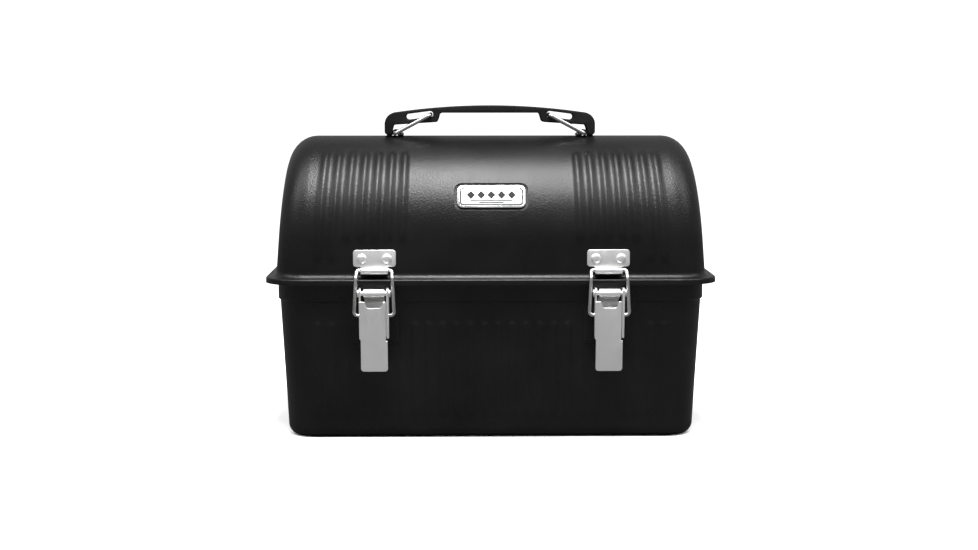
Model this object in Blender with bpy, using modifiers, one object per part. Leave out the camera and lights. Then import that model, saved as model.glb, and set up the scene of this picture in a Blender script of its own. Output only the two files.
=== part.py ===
"""Dome-topped metal lunch box: pressed tub and lid, two draw latches, drop handle on wire links.

Metres, +Z up. The origin is the centre of the footprint on the ground, and the front faces -Y.
"""

import bmesh
import bpy
from math import atan2, cos, hypot, pi, radians, sin, tan
from mathutils import Matrix, Vector

MM = 0.001

# Overall form
LENGTH = 330 * MM              # over the lid's rim
DEPTH = 165 * MM               # over the lid's rim
RIM_OUT = 7.5 * MM             # of the rim from the lid's walls
RIM_HEIGHT = 118.6 * MM        # top face of the lid's rim
WALL_RISE = 26 * MM            # from the rim to the dome's axis
SHEET = 0.8 * MM
GAP = 0.3 * MM                 # between pieces that touch
WALL_X = LENGTH / 2 - RIM_OUT
WALL_Y = DEPTH / 2 - RIM_OUT
DOME_RADIUS = WALL_Y
DOME_CENTRE = RIM_HEIGHT + WALL_RISE

# Lid
LID_LEAN = radians(4.5)        # of the end walls
LID_CORNER = 20 * MM
LIP_DEPTH = 4.2 * MM           # down-turned edge of the rim
LIP_CLEARANCE = 0.8 * MM       # between the tub's rim and the lip
ARC_STEPS = 25
CORNER_STEPS = 4

# Tub
TUB_INSET = 0.6 * MM           # upper band of the tub behind the lid's walls
WAIST_DROP = 17.3 * MM         # from the rim
WAIST_STEP = 1.4 * MM
TUB_DRAFT = radians(3.2)
TUB_CORNER = 22 * MM
FOOT_RADIUS = 8 * MM
TUB_X = WALL_X - TUB_INSET
TUB_Y = WALL_Y - TUB_INSET
WAIST_HEIGHT = RIM_HEIGHT - WAIST_DROP
TUB_RIM_UNDER = RIM_HEIGHT - 2 * SHEET - GAP   # underside of the tub's rim
TUB_RIM_OUT = RIM_OUT + TUB_INSET - SHEET - LIP_CLEARANCE

# Pressed ribs
RIB_PITCH = 10.1 * MM
RIB_WIDTH = 6 * MM
RIB_CREST = 3 * MM             # width of its flat top
RIB_RISE = 1.5 * MM
RIB_SINK = 0.4 * MM            # how far it starts inside the sheet
RIB_COUNT = int((TUB_X - TUB_CORNER) / RIB_PITCH)    # on each side of the centre line
TUB_RIB_LOW = 15 * MM
TUB_RIB_HIGH = WAIST_HEIGHT - 13 * MM
PAD_RIB_GAP = 14 * MM          # under a latch pad
LID_PLAIN_HALF = 60 * MM       # half of the plain stretch in the lid's middle
LID_RIB_HIGH = radians(56)     # angle on the dome
LID_END_RIB_DROP = 14.6 * MM   # how far the ones past the hinges run below the dome's axis

# Badge on the dome
BADGE_ANGLE = radians(26)
BADGE_SIZE = (49.4 * MM, 17.5 * MM)
BADGE_THICKNESS = 1 * MM
BADGE_MARGIN = 2 * MM          # of the recess round the badge
RECESS_DEPTH = 1.7 * MM

# Latches
LATCH_INSET = 73 * MM          # of a latch's middle from the end wall
LATCH_X = WALL_X - LATCH_INSET
PAD_SIZE = (35 * MM, 30 * MM)
PLATE = 1.2 * MM
LEVER_PROUD = 6 * MM           # of the lever's pin from the rim
LEVER_DROP = 9.2 * MM          # of the pin under the rim
LEVER_PIVOT = Vector((0, -DEPTH / 2 - LEVER_PROUD, RIM_HEIGHT - LEVER_DROP))
LEVER_TILT = radians(7)
LEVER_WIDTH = 21.3 * MM
LEVER_TOP = 3.6 * MM           # above the pivot
LEVER_BOTTOM = -57 * MM
LEVER_SHOULDER = -32.5 * MM    # where the side flanges end
LEVER_FACE = -3.6 * MM         # face plate in front of the pivot
TONGUE_WIDTH = LEVER_WIDTH - 2 * MM
WINDOW = (13 * MM, 9.9 * MM)   # width and depth below the pivot
BASE_WIDTH = WINDOW[0] - 1.5 * MM
BASE_PLATE_WIDTH = 18 * MM
BASE_BOTTOM = LEVER_PIVOT.z - 33.1 * MM
BASE_RIVET_RISE = (6 * MM, 18 * MM)         # over the plate's lower end
BASE_NECK = 6 * MM             # below the pin, where the plate bends out
PIN_RADIUS = 1.6 * MM
PIN_HEAD = 2.7 * MM
LEVER_NIP = 4 * MM             # of the tongue's corners
FLANGE_DEPTH = 4.6 * MM        # behind the pin
FLANGE_TIP = 2.4 * MM          # its depth where it ends
BAIL_WIRE = 1.4 * MM           # radius
BAIL_ARM = Vector((0, 0.8, -16.4)) * MM    # bail pivot from the lever pivot, before the tilt
STRIKE_SIZE = (30.8 * MM, 12.3 * MM)
STRIKE_TOP = RIM_HEIGHT + 20.9 * MM
HOOK_WIDTH = LEVER_WIDTH - 1.8 * MM
HOOK_DEPTH = 2 * BAIL_WIRE + 3.6 * MM
HOOK_FLOOR = RIM_HEIGHT + 4.1 * MM
HOOK_LIP = HOOK_FLOOR + 3.1 * MM
STRIKE_RIVET_X = 9.1 * MM
STRIKE_RIVET_Z = STRIKE_TOP - 6.4 * MM
BAIL_CLEARANCE = 1.85 * MM     # of the wire past the hook's sides, and a little more at the lever
BAIL_HALF_TOP = HOOK_WIDTH / 2 + BAIL_WIRE + BAIL_CLEARANCE
BAIL_HALF_LOW = LEVER_WIDTH / 2 + BAIL_WIRE + BAIL_CLEARANCE + 0.6 * MM
BAIL_OUT = 1 * MM              # of the wire in front of the rim
BAIL_OVER = 0.1 * MM           # of its bend above the rim
BAIL_IN_HOOK = 0.9 * MM        # of its bar above the middle of the hook's sheet
BAIL_OFF_WALL = 2.9 * MM
BAIL_BEND = Vector((0, -DEPTH / 2 - BAIL_OUT - BAIL_WIRE, RIM_HEIGHT + BAIL_OVER + BAIL_WIRE))
BAIL_BAR = Vector((0, -WALL_Y - BAIL_OFF_WALL - BAIL_WIRE, HOOK_FLOOR + BAIL_IN_HOOK + BAIL_WIRE))

# Handle
DOME_TOP = DOME_CENTRE + DOME_RADIUS * cos(pi / ARC_STEPS / 2)
HANDLE_FOOT = DOME_TOP + GAP
HANDLE_HALF = 79.4 * MM
HANDLE_DROP = 6.4 * MM         # of the crown from the middle to the corners
HANDLE_WIDTH = 22 * MM
HANDLE_CORNER = 9 * MM
GRIP_THICKNESS = 5.5 * MM
BOSS_WALL = 4 * MM             # under the links' upper bars
LINK_WIRE = 1.5 * MM           # radius
LINK_FOOT_X = HANDLE_HALF - 7.8 * MM
LINK_SPAN = 26.7 * MM          # from the lower bar inwards to the upper, at rest
LINK_HEAD_X = LINK_FOOT_X - LINK_SPAN
LINK_RISE = 14.2 * MM          # of the upper bar over the lower, at rest
LINK_FOOT_Z = HANDLE_FOOT + LINK_WIRE
LINK_HALF_WIDTH = HANDLE_WIDTH / 2 + LINK_WIRE + 0.9 * MM
CROWN_WALL = 6.9 * MM          # over the links' upper bars
HANDLE_TOP = LINK_FOOT_Z + LINK_RISE + CROWN_WALL
SLOT_SLOPE = 0.13
SLOT_LENGTH = 16.2 * MM
SLOT_HEIGHT = 2 * LINK_WIRE + 1.5 * MM
STRAP_LENGTH = 12.6 * MM
STRAP_WIDTH = HANDLE_WIDTH - 3 * MM
STRAP_HEIGHT = 2 * LINK_WIRE + 2.2 * MM    # room for it under the handle
STRAP_RIVET = LINK_WIRE + 3.2 * MM         # from the middle of the strap

# Rear hinges
HINGE_INSET = 69.5 * MM        # of a hinge's middle from the end wall
HINGE_X = WALL_X - HINGE_INSET
HINGE_Y = DEPTH / 2 + 5 * MM
HINGE_Z = RIM_HEIGHT - 2.8 * MM
HINGE_WIDTH = 44 * MM
KNUCKLE_HALF = 8.5 * MM        # half the length of the middle knuckle
HINGE_PIN = 1.6 * MM           # radius
HINGE_PIN_HEAD = 2.3 * MM
HINGE_RIVET_X = 15 * MM
TUB_LEAF_RIVET_Z = RIM_HEIGHT - 12.3 * MM
LID_LEAF_RIVET_Z = RIM_HEIGHT + 9.7 * MM
TUB_LEAF_END = TUB_LEAF_RIVET_Z - 4.4 * MM
TUB_LEAF_BEND = HINGE_Z - 5.6 * MM
LID_LEAF_END = LID_LEAF_RIVET_Z + 6 * MM
LID_LEAF_BEND = RIM_HEIGHT + 3.4 * MM

# Bottle retainer in the lid
RETAINER_WIRE = 1.5 * MM
RETAINER_HALF = 96 * MM
RETAINER_EYE_X = 80 * MM
RETAINER_EYE_WIDTH = 14 * MM
RETAINER_EYE_DROP = 12 * MM    # of the eye under the dome's axis
RETAINER_REACH = 2 * WALL_Y - 28 * MM
RETAINER_RAISE = 6 * MM
EYE_PLATE_TOP = 0.6 * MM       # of the eye's plate under the dome's axis
EYE_RIVET_DROP = 4.4 * MM
EYE_NECK = 3.2 * MM            # over the wire, where the plate curls

# Rivets
RIVET_SHANK = 1.8 * MM
RIVET_HEAD = 3.6 * MM
RIVET_DOME = 1.6 * MM
SMALL_SHANK = 1.1 * MM
EYE_RIVET = (SMALL_SHANK, 1.9 * MM, 1 * MM)       # shank, head and dome
STRAP_RIVET_SIZES = (SMALL_SHANK, 1.6 * MM, 0.9 * MM)
DRILL_REACH = 24 * MM
ROUND_STEPS = 12

# Axes
BAIL_PIVOT = LEVER_PIVOT + Matrix.Rotation(LEVER_TILT, 3, "X") @ BAIL_ARM
HINGE_AXIS = Vector((0, HINGE_Y, HINGE_Z))
RETAINER_AXIS = Vector((0, WALL_Y - SHEET - GAP - PLATE - 2.7 * MM, DOME_CENTRE - RETAINER_EYE_DROP))

COATING = ("black_coating", (0.012, 0.012, 0.013), 0.45, 0.3)
STEEL = ("plated_steel", (0.62, 0.61, 0.59), 0.3, 1.0)
WIRE = ("bright_wire", (0.66, 0.65, 0.63), 0.22, 1.0)
PLASTIC = ("black_plastic", (0.015, 0.015, 0.016), 0.5, 0.0)
BADGE = ("badge_metal", (0.55, 0.55, 0.54), 0.28, 1.0)


def clear_scene():
    for item in list(bpy.data.objects):
        bpy.data.objects.remove(item, do_unlink=True)


def collection(name):
    found = bpy.data.collections.new(name)
    bpy.context.scene.collection.children.link(found)
    return found


def material(name, look):
    """A Principled material for one piece. look is (finish, colour, roughness, metallic)."""
    finish, colour, roughness, metallic = look
    made = bpy.data.materials.new(f"{name}_{finish}")
    made.use_nodes = True
    shader = made.node_tree.nodes["Principled BSDF"]
    shader.inputs["Base Color"].default_value = (*colour, 1)
    shader.inputs["Roughness"].default_value = roughness
    shader.inputs["Metallic"].default_value = metallic
    return made


def piece(name, mesh, look, location=(0, 0, 0), rotation=None):
    """A named object in the main collection, placed by its location and rotation."""
    made = bpy.data.objects.new(name, mesh)
    MAIN.objects.link(made)
    made.location = location
    if rotation is not None:
        made.rotation_euler = rotation.to_euler()
    if not mesh.materials:
        mesh.materials.append(material(name, look))
    made.data.shade_smooth()
    made.data.set_sharp_from_angle(angle=radians(35))
    return made


def tool(name, mesh):
    """A hidden object that a Boolean modifier reads."""
    made = bpy.data.objects.new(name, mesh)
    TOOLS.objects.link(made)
    made.hide_render = True
    made.display_type = "WIRE"
    return made


def combine(target, other, operation):
    step = target.modifiers.new(operation.lower(), "BOOLEAN")
    step.operation = operation
    step.object = other
    step.solver = "EXACT"


def thicken(target, thickness, offset):
    step = target.modifiers.new("sheet", "SOLIDIFY")
    step.thickness = thickness
    step.offset = offset
    step.use_even_offset = True


def to_mesh(shape, name, crown=0):
    """The mesh of a bmesh, with its faces turned outwards. An open pressing's crown is 1 or -1."""
    bmesh.ops.recalc_face_normals(shape, faces=shape.faces)
    if crown:
        last = max(shape.faces, key=lambda face: crown * face.calc_center_median().z)
        if last.normal.z * crown < 0:
            bmesh.ops.reverse_faces(shape, faces=shape.faces)
    made = bpy.data.meshes.new(name)
    shape.to_mesh(made)
    shape.free()
    return made


def curve_mesh(curve, name, place=None):
    """A curve turned into a closed mesh, with its caps welded."""
    holder = bpy.data.objects.new(name, curve)
    MAIN.objects.link(holder)
    graph = bpy.context.evaluated_depsgraph_get()
    made = bpy.data.meshes.new_from_object(holder.evaluated_get(graph))
    bpy.data.objects.remove(holder, do_unlink=True)
    shape = bmesh.new()
    shape.from_mesh(made)
    bmesh.ops.remove_doubles(shape, verts=shape.verts, dist=0.00001)
    if place is not None:
        bmesh.ops.transform(shape, matrix=place, verts=shape.verts)
    bmesh.ops.recalc_face_normals(shape, faces=shape.faces)
    shape.to_mesh(made)
    shape.free()
    return made


def flat_curve(outlines, thickness):
    """A flat curve, extruded to the thickness. The first outline is the edge, the rest are holes."""
    curve = bpy.data.curves.new("outline", "CURVE")
    curve.dimensions = "2D"
    curve.fill_mode = "BOTH"
    curve.extrude = thickness / 2
    for outline in outlines:
        spline = curve.splines.new("POLY")
        spline.points.add(len(outline) - 1)
        for point, (u, v) in zip(spline.points, outline):
            point.co = (u, v, 0, 1)
        spline.use_cyclic_u = True
    return curve


FACING_FRONT = Matrix(((1, 0, 0, 0), (0, 0, -1, 0), (0, 1, 0, 0), (0, 0, 0, 1)))
FACING_SIDE = Matrix(((0, 0, 1, 0), (1, 0, 0, 0), (0, 1, 0, 0), (0, 0, 0, 1)))


def rounded(points, radius, steps=3):
    """A run of points with its inner corners rounded."""
    points = [Vector(p) for p in points]
    out = [points[0]]
    for before, corner, after in zip(points, points[1:], points[2:]):
        back, on = (before - corner).normalized(), (after - corner).normalized()
        half = back.angle(on) / 2
        reach = radius / tan(half)
        centre = corner + (back + on).normalized() * (radius / sin(half))
        start = (corner + back * reach - centre).normalized()
        end = (corner + on * reach - centre).normalized()
        out += [centre + start.slerp(end, i / steps) * radius for i in range(steps + 1)]
    return out + [points[-1]]


def wire_mesh(points, radius, name, cyclic=False):
    """A round wire along the points."""
    curve = bpy.data.curves.new(name, "CURVE")
    curve.dimensions = "3D"
    curve.bevel_depth = radius
    curve.bevel_resolution = 2
    curve.use_fill_caps = not cyclic
    spline = curve.splines.new("POLY")
    spline.points.add(len(points) - 1)
    for point, place in zip(spline.points, points):
        point.co = (*place, 1)
    spline.use_cyclic_u = cyclic
    return curve_mesh(curve, name)


def strip_mesh(path, width, name):
    """An open sheet that follows a path of (y, z) points and is as wide as width along X."""
    shape = bmesh.new()
    row = [shape.verts.new((-width / 2, y, z)) for y, z in path]
    edges = [shape.edges.new(pair) for pair in zip(row, row[1:])]
    swept = bmesh.ops.extrude_edge_only(shape, edges=edges)["geom"]
    moved = [g for g in swept if isinstance(g, bmesh.types.BMVert)]
    bmesh.ops.translate(shape, verts=moved, vec=(width, 0, 0))
    return to_mesh(shape, name)


def curl(centre, radius, start, turn, steps=10):
    """Points (y, z) on an arc about a centre."""
    angles = [start + turn * i / steps for i in range(steps + 1)]
    return [(centre[0] + radius * cos(a), centre[1] + radius * sin(a)) for a in angles]


def block_mesh(size, centre, name, turn=None):
    shape = bmesh.new()
    bmesh.ops.create_cube(shape, size=1)
    bmesh.ops.scale(shape, verts=shape.verts, vec=size)
    if turn is not None:
        bmesh.ops.transform(shape, matrix=turn, verts=shape.verts)
    bmesh.ops.translate(shape, verts=shape.verts, vec=centre)
    return to_mesh(shape, name)


def join_meshes(meshes, name):
    """Several closed meshes that don't touch, as one mesh."""
    shape = bmesh.new()
    for mesh in meshes:
        shape.from_mesh(mesh)
        bpy.data.meshes.remove(mesh)
    return to_mesh(shape, name)


def drill_mesh(centre, direction, radius, length):
    """A round cutter centred on a point."""
    shape = bmesh.new()
    bmesh.ops.create_cone(
        shape, cap_ends=True, segments=ROUND_STEPS, radius1=radius, radius2=radius, depth=length
    )
    turn = Vector((0, 0, 1)).rotation_difference(Vector(direction)).to_matrix().to_4x4()
    bmesh.ops.transform(shape, matrix=Matrix.Translation(centre) @ turn, verts=shape.verts)
    return to_mesh(shape, "drill")


def turned_mesh(profile, name):
    """A profile of (radius, height) points turned about Z."""
    shape = bmesh.new()
    row = [shape.verts.new((r, 0, h)) for r, h in profile]
    edges = [shape.edges.new(pair) for pair in zip(row, row[1:])]
    bmesh.ops.spin(
        shape, geom=row + edges, axis=(0, 0, 1), cent=(0, 0, 0), angle=2 * pi, steps=ROUND_STEPS
    )
    bmesh.ops.remove_doubles(shape, verts=shape.verts, dist=0.000001)
    return to_mesh(shape, name)


def rivet(name, place, direction, grip, shank=RIVET_SHANK, head=RIVET_HEAD, dome=RIVET_DOME):
    """A rivet whose head sits at place and whose shank runs back through the grip."""
    profile = [
        (0, dome),
        (head * 0.6, dome * 0.8),
        (head, 0),
        (shank, 0),
        (shank, -grip),
        (head * 0.8, -grip),
        (head * 0.6, -grip - dome * 0.6),
        (0, -grip - dome * 0.6),
    ]
    turn = Vector((0, 0, 1)).rotation_difference(Vector(direction)).to_matrix()
    return piece(name, turned_mesh(profile, name), STEEL, place, turn)


def pin(name, place, half, radius, head):
    """A headed pin along X."""
    profile = [
        (0, half + 0.9 * MM),
        (head * 0.8, half + 0.9 * MM),
        (head, half + 0.5 * MM),
        (head, half),
        (radius, half),
        (radius, -half),
        (head, -half),
        (head, -half - 0.5 * MM),
        (head * 0.8, -half - 0.9 * MM),
        (0, -half - 0.9 * MM),
    ]
    turn = Matrix.Rotation(pi / 2, 3, "Y")
    return piece(name, turned_mesh(profile, name), STEEL, place, turn)


def hang_on(empty, members):
    """Parents members to an empty without moving them."""
    for member in members:
        member.parent = empty
        member.matrix_parent_inverse = Matrix.Translation(-empty.location)


def axis_empty(name, place):
    made = bpy.data.objects.new(name, None)
    made.location = place
    MAIN.objects.link(made)
    return made


def spread(verts, half_x, half_y, corner, out, height):
    """Moves a ring that follows a rounded rectangle to a wider one at another height."""
    for vert in verts:
        core_x = max(-half_x + corner, min(half_x - corner, vert.co.x))
        core_y = max(-half_y + corner, min(half_y - corner, vert.co.y))
        way = Vector((vert.co.x - core_x, vert.co.y - core_y, 0)).normalized()
        vert.co += way * out
        vert.co.z = height


def next_ring(shape, ring, half_x, half_y, corner, out, height):
    """Extrudes an open ring of edges outwards and up, and gives the new ring."""
    swept = bmesh.ops.extrude_edge_only(shape, edges=ring)["geom"]
    verts = [g for g in swept if isinstance(g, bmesh.types.BMVert)]
    spread(verts, half_x, half_y, corner, out, height)
    return [g for g in swept if isinstance(g, bmesh.types.BMEdge) and g.is_boundary]


def tub_wall_y(height):
    """Outer face of the tub's wall under the waist."""
    return TUB_Y - WAIST_STEP - (WAIST_HEIGHT - height) * tan(TUB_DRAFT)


def make_tub():
    """Drawn steel tub: rounded floor, drafted walls, a waist step and an out-turned rim."""
    draft = (WAIST_HEIGHT - FOOT_RADIUS) * tan(TUB_DRAFT)
    inset = WAIST_STEP + draft + FOOT_RADIUS
    half_x, half_y, corner = TUB_X - inset, TUB_Y - inset, TUB_CORNER - FOOT_RADIUS
    shape = bmesh.new()
    bmesh.ops.create_grid(shape, x_segments=1, y_segments=1, size=1)
    bmesh.ops.scale(shape, verts=shape.verts, vec=(half_x, half_y, 1))
    bmesh.ops.bevel(
        shape, geom=shape.verts[:], offset=corner, offset_type="OFFSET",
        segments=CORNER_STEPS, profile=0.5, affect="VERTICES",
    )
    ring = [e for e in shape.edges if e.is_boundary]
    turns = [radians(30), radians(60), radians(90)]
    stations = [(FOOT_RADIUS * sin(a), FOOT_RADIUS * (1 - cos(a))) for a in turns]
    stations += [
        (FOOT_RADIUS + draft, WAIST_HEIGHT),
        (inset, WAIST_HEIGHT + WAIST_STEP / 2),
        (inset, TUB_RIM_UNDER),
        (inset + TUB_RIM_OUT, TUB_RIM_UNDER),
    ]
    reached = 0
    for out, height in stations:
        ring = next_ring(shape, ring, half_x + reached, half_y + reached, corner + reached,
                         out - reached, height)
        reached = out
    tub = piece("tub", to_mesh(shape, "tub", crown=-1), COATING)
    thicken(tub, SHEET, -1)
    combine(tub, tool("tub_ribs", tub_ribs()), "UNION")
    combine(tub, tool("tub_pads", tub_pads()), "UNION")
    return tub


def tub_rib(x, side, low, high):
    """One straight rib on the drafted wall, with chamfered ends and a narrower crest."""
    shape = bmesh.new()
    bmesh.ops.create_cube(shape, size=1)
    bmesh.ops.scale(shape, verts=shape.verts, vec=(RIB_WIDTH, RIB_RISE + RIB_SINK, high - low))
    cross = [e for e in shape.edges if abs(e.verts[0].co.y - e.verts[1].co.y) > RIB_SINK]
    bmesh.ops.bevel(
        shape, geom=cross, offset=RIB_WIDTH * 0.32, offset_type="OFFSET", segments=1, affect="EDGES"
    )
    slope = (RIB_WIDTH - RIB_CREST) / 2
    for vert in shape.verts:
        if vert.co.y < 0:
            vert.co.x *= RIB_CREST / RIB_WIDTH
            vert.co.z -= slope if vert.co.z > 0 else -slope
    middle = (low + high) / 2
    wall = tub_wall_y(middle) + (RIB_RISE - RIB_SINK) / 2
    turn = Matrix.Rotation(0 if side < 0 else pi, 4, "Z") @ Matrix.Rotation(TUB_DRAFT, 4, "X")
    place = Matrix.Translation((x, side * wall, middle)) @ turn
    bmesh.ops.transform(shape, matrix=place, verts=shape.verts)
    return to_mesh(shape, "rib")


def rib_places():
    """The ribs' places along one half of a wall."""
    return [(index + 0.5) * RIB_PITCH for index in range(RIB_COUNT)]


def tub_ribs():
    meshes = []
    for side in (-1, 1):
        for x in rib_places():
            short = side < 0 and abs(x - LATCH_X) < PAD_SIZE[0] / 2 + RIB_WIDTH
            high = WAIST_HEIGHT - PAD_SIZE[1] - PAD_RIB_GAP if short else TUB_RIB_HIGH
            for way in (-1, 1):
                meshes.append(tub_rib(way * x, side, TUB_RIB_LOW, high))
    return join_meshes(meshes, "tub_ribs")


def tub_pads():
    """Two raised pads under the waist that carry the latches."""
    width, height = PAD_SIZE
    low = WAIST_HEIGHT - height
    back = tub_wall_y(low) - RIB_SINK
    outline = [
        (-TUB_Y, WAIST_HEIGHT + WAIST_STEP),
        (-TUB_Y, low + height * 0.25),
        (-tub_wall_y(low) - RIB_SINK, low),
        (-back, low),
        (-tub_wall_y(WAIST_HEIGHT) + RIB_SINK, WAIST_HEIGHT),
        (-TUB_Y + RIB_SINK, WAIST_HEIGHT + WAIST_STEP),
    ]
    meshes = []
    for way in (-1, 1):
        place = Matrix.Translation((way * LATCH_X, 0, 0)) @ FACING_SIDE
        meshes.append(curve_mesh(flat_curve([outline], width), "pad", place))
    return join_meshes(meshes, "tub_pads")


def dome_outline():
    """The lid's end view, as (y, z) points from one wall's foot over the dome to the other's."""
    arc = [pi * i / ARC_STEPS for i in range(ARC_STEPS + 1)]
    dome = [(DOME_RADIUS * cos(a), DOME_CENTRE + DOME_RADIUS * sin(a)) for a in arc]
    return [(WALL_Y, RIM_HEIGHT), *dome, (-WALL_Y, RIM_HEIGHT)]


def next_arch(shape, arch, out, x):
    """Extrudes an arch of edges along X, to a larger or smaller dome, and gives the new arch."""
    swept = bmesh.ops.extrude_edge_only(shape, edges=arch)["geom"]
    for vert in (g for g in swept if isinstance(g, bmesh.types.BMVert)):
        way = Vector((0, vert.co.y, max(vert.co.z - DOME_CENTRE, 0))).normalized()
        vert.co += way * out
        vert.co.x = x
    return [g for g in swept if isinstance(g, bmesh.types.BMEdge) and g.is_boundary
            and abs(g.verts[0].co.x - g.verts[1].co.x) < GAP]


def cap_arch(shape, arch):
    """Closes the end of the dome. The edge along its foot stays open for the rim."""
    feet = [v for e in arch for v in e.verts if v.co.z < RIM_HEIGHT + GAP]
    bmesh.ops.edgeloop_fill(shape, edges=[*arch, shape.edges.new(feet)])


def make_lid():
    """Pressed dome lid: half-round top, leaning ends, and a rim with a down-turned lip."""
    shape = bmesh.new()
    turns = [radians(90) * i / CORNER_STEPS for i in range(CORNER_STEPS + 1)]
    bends = [(LID_CORNER * (1 - cos(a)), WALL_X - LID_CORNER * (1 - sin(a))) for a in turns]
    stations = [(tuck, -x) for tuck, x in reversed(bends)] + bends
    row = [shape.verts.new((-WALL_X, y, z)) for y, z in dome_outline()]
    arch = [shape.edges.new(pair) for pair in zip(row, row[1:])]
    for vert in row:
        vert.co -= Vector((0, vert.co.y, max(vert.co.z - DOME_CENTRE, 0))).normalized() * LID_CORNER
    cap_arch(shape, arch)
    tucked = LID_CORNER
    for tuck, x in stations[1:]:
        arch = next_arch(shape, arch, tucked - tuck, x)
        tucked = tuck
    cap_arch(shape, arch)
    for vert in shape.verts:
        inward = (vert.co.z - RIM_HEIGHT) * tan(LID_LEAN)
        vert.co.x -= inward if vert.co.x > 0 else -inward
    ring = [e for e in shape.edges if e.is_boundary]
    ring = next_ring(shape, ring, WALL_X, WALL_Y, LID_CORNER, RIM_OUT, RIM_HEIGHT)
    corner = LID_CORNER + RIM_OUT
    next_ring(shape, ring, LENGTH / 2, DEPTH / 2, corner, 0, RIM_HEIGHT - LIP_DEPTH)
    lid = piece("lid", to_mesh(shape, "lid", crown=1), COATING)
    thicken(lid, SHEET, -1)
    combine(lid, tool("lid_ribs", lid_ribs()), "UNION")
    block, pocket = badge_recess()
    combine(lid, tool("badge_pan", block), "UNION")
    combine(lid, tool("badge_pocket", pocket), "DIFFERENCE")
    return lid


def lid_rib(x, side, drop):
    """One rib that follows the dome, and runs down the wall under it by drop."""
    steps = 6
    inner, outer = DOME_RADIUS - RIB_SINK, DOME_RADIUS + RIB_RISE
    angles = [LID_RIB_HIGH * i / steps for i in range(steps + 1)]
    out = [(outer * cos(a), outer * sin(a)) for a in angles]
    back = [(inner * cos(a), inner * sin(a)) for a in reversed(angles)]
    if drop:
        out.insert(0, (outer, -drop))
        back.append((inner, -drop))
    mesh = curve_mesh(flat_curve([out + back], RIB_WIDTH), "rib", FACING_SIDE)
    shape = bmesh.new()
    shape.from_mesh(mesh)
    bpy.data.meshes.remove(mesh)
    slope = (RIB_WIDTH - RIB_CREST) / 2
    for vert in shape.verts:
        crest = hypot(vert.co.y, max(vert.co.z, 0)) > DOME_RADIUS
        if crest:
            vert.co.x *= RIB_CREST / RIB_WIDTH
            if vert.co.z < 0.1 * MM:
                vert.co.z += slope
            if atan2(vert.co.z, vert.co.y) > LID_RIB_HIGH - 0.01:
                vert.co += Vector((0, sin(LID_RIB_HIGH), -cos(LID_RIB_HIGH))) * slope
    turn = Matrix.Rotation(0 if side > 0 else pi, 4, "Z")
    place = Matrix.Translation((x, 0, DOME_CENTRE)) @ turn
    bmesh.ops.transform(shape, matrix=place, verts=shape.verts)
    return to_mesh(shape, "rib")


def lid_ribs():
    meshes = []
    for side in (-1, 1):
        for x in (x for x in rib_places() if x > LID_PLAIN_HALF):
            drop = LID_END_RIB_DROP if x - RIB_WIDTH / 2 > HINGE_X + HINGE_WIDTH / 2 else 0
            for way in (-1, 1):
                meshes.append(lid_rib(way * x, side, drop))
    return join_meshes(meshes, "lid_ribs")


def badge_place(radius):
    """Matrix that stands a flat piece on the dome, at a distance from the dome's axis."""
    turn = Matrix.Rotation(BADGE_ANGLE - pi / 2, 4, "X")
    out = Vector((0, -cos(BADGE_ANGLE), sin(BADGE_ANGLE)))
    return Matrix.Translation(Vector((0, 0, DOME_CENTRE)) + out * radius) @ turn.inverted()


def recess_floor():
    return DOME_RADIUS - RECESS_DEPTH


def badge_recess():
    """The pan pressed into the dome for the badge, and the pocket cut into it."""
    length, height = (side + 2 * BADGE_MARGIN for side in BADGE_SIZE)
    floor = recess_floor()
    pan_back, pan_front = floor - SHEET, DOME_RADIUS - 1.1 * MM
    pan = block_mesh((length + 2 * SHEET, height + 2 * SHEET, pan_front - pan_back), (0, 0, 0), "pan")
    pan.transform(badge_place((pan_front + pan_back) / 2))
    pocket = block_mesh((length, height, 2 * RIB_WIDTH), (0, 0, RIB_WIDTH), "pocket")
    pocket.transform(badge_place(floor))
    return pan, pocket


def make_nameplate():
    """Thin metal badge with rounded corners, in the recess."""
    length, height = BADGE_SIZE
    shape = bmesh.new()
    bmesh.ops.create_cube(shape, size=1)
    bmesh.ops.scale(shape, verts=shape.verts, vec=(length, height, BADGE_THICKNESS))
    cross = [e for e in shape.edges if abs(e.verts[0].co.z - e.verts[1].co.z) > BADGE_THICKNESS / 2]
    bmesh.ops.bevel(
        shape, geom=cross, offset=4 * MM, offset_type="OFFSET", segments=4, profile=0.5,
        affect="EDGES",
    )
    mesh = to_mesh(shape, "nameplate")
    mesh.transform(badge_place(recess_floor() + GAP + BADGE_THICKNESS / 2))
    return piece("nameplate", mesh, BADGE)


def make_strike(name, x):
    """Hooked plate on the lid: a wide plate on the wall and a narrower J-shaped hook."""
    back = -WALL_Y - GAP - PLATE / 2
    front = back - HOOK_DEPTH
    path = [
        (back, STRIKE_TOP),
        (back, HOOK_FLOOR + 1.2 * MM),
        (back - 1.2 * MM, HOOK_FLOOR),
        (front + 1.2 * MM, HOOK_FLOOR),
        (front, HOOK_FLOOR + 1.2 * MM),
        (front, HOOK_LIP),
    ]
    width, height = STRIKE_SIZE
    strike = piece(name, strip_mesh(path, width, name), STEEL, (x, 0, 0))
    thicken(strike, PLATE, 0)
    spare = (width - HOOK_WIDTH) / 2
    low = STRIKE_TOP - height
    sides = []
    for way in (-1, 1):
        centre = (x + way * (HOOK_WIDTH / 2 + spare), -WALL_Y, low - height / 2)
        sides.append(block_mesh((2 * spare, 4 * HOOK_DEPTH, height), centre, "side"))
    combine(strike, tool(f"{name}_sides", join_meshes(sides, "sides")), "DIFFERENCE")
    return strike


def strike_rivets():
    return [
        Vector((way * LATCH_X + side * STRIKE_RIVET_X, -WALL_Y, STRIKE_RIVET_Z))
        for way in (-1, 1)
        for side in (-1, 1)
    ]


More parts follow.
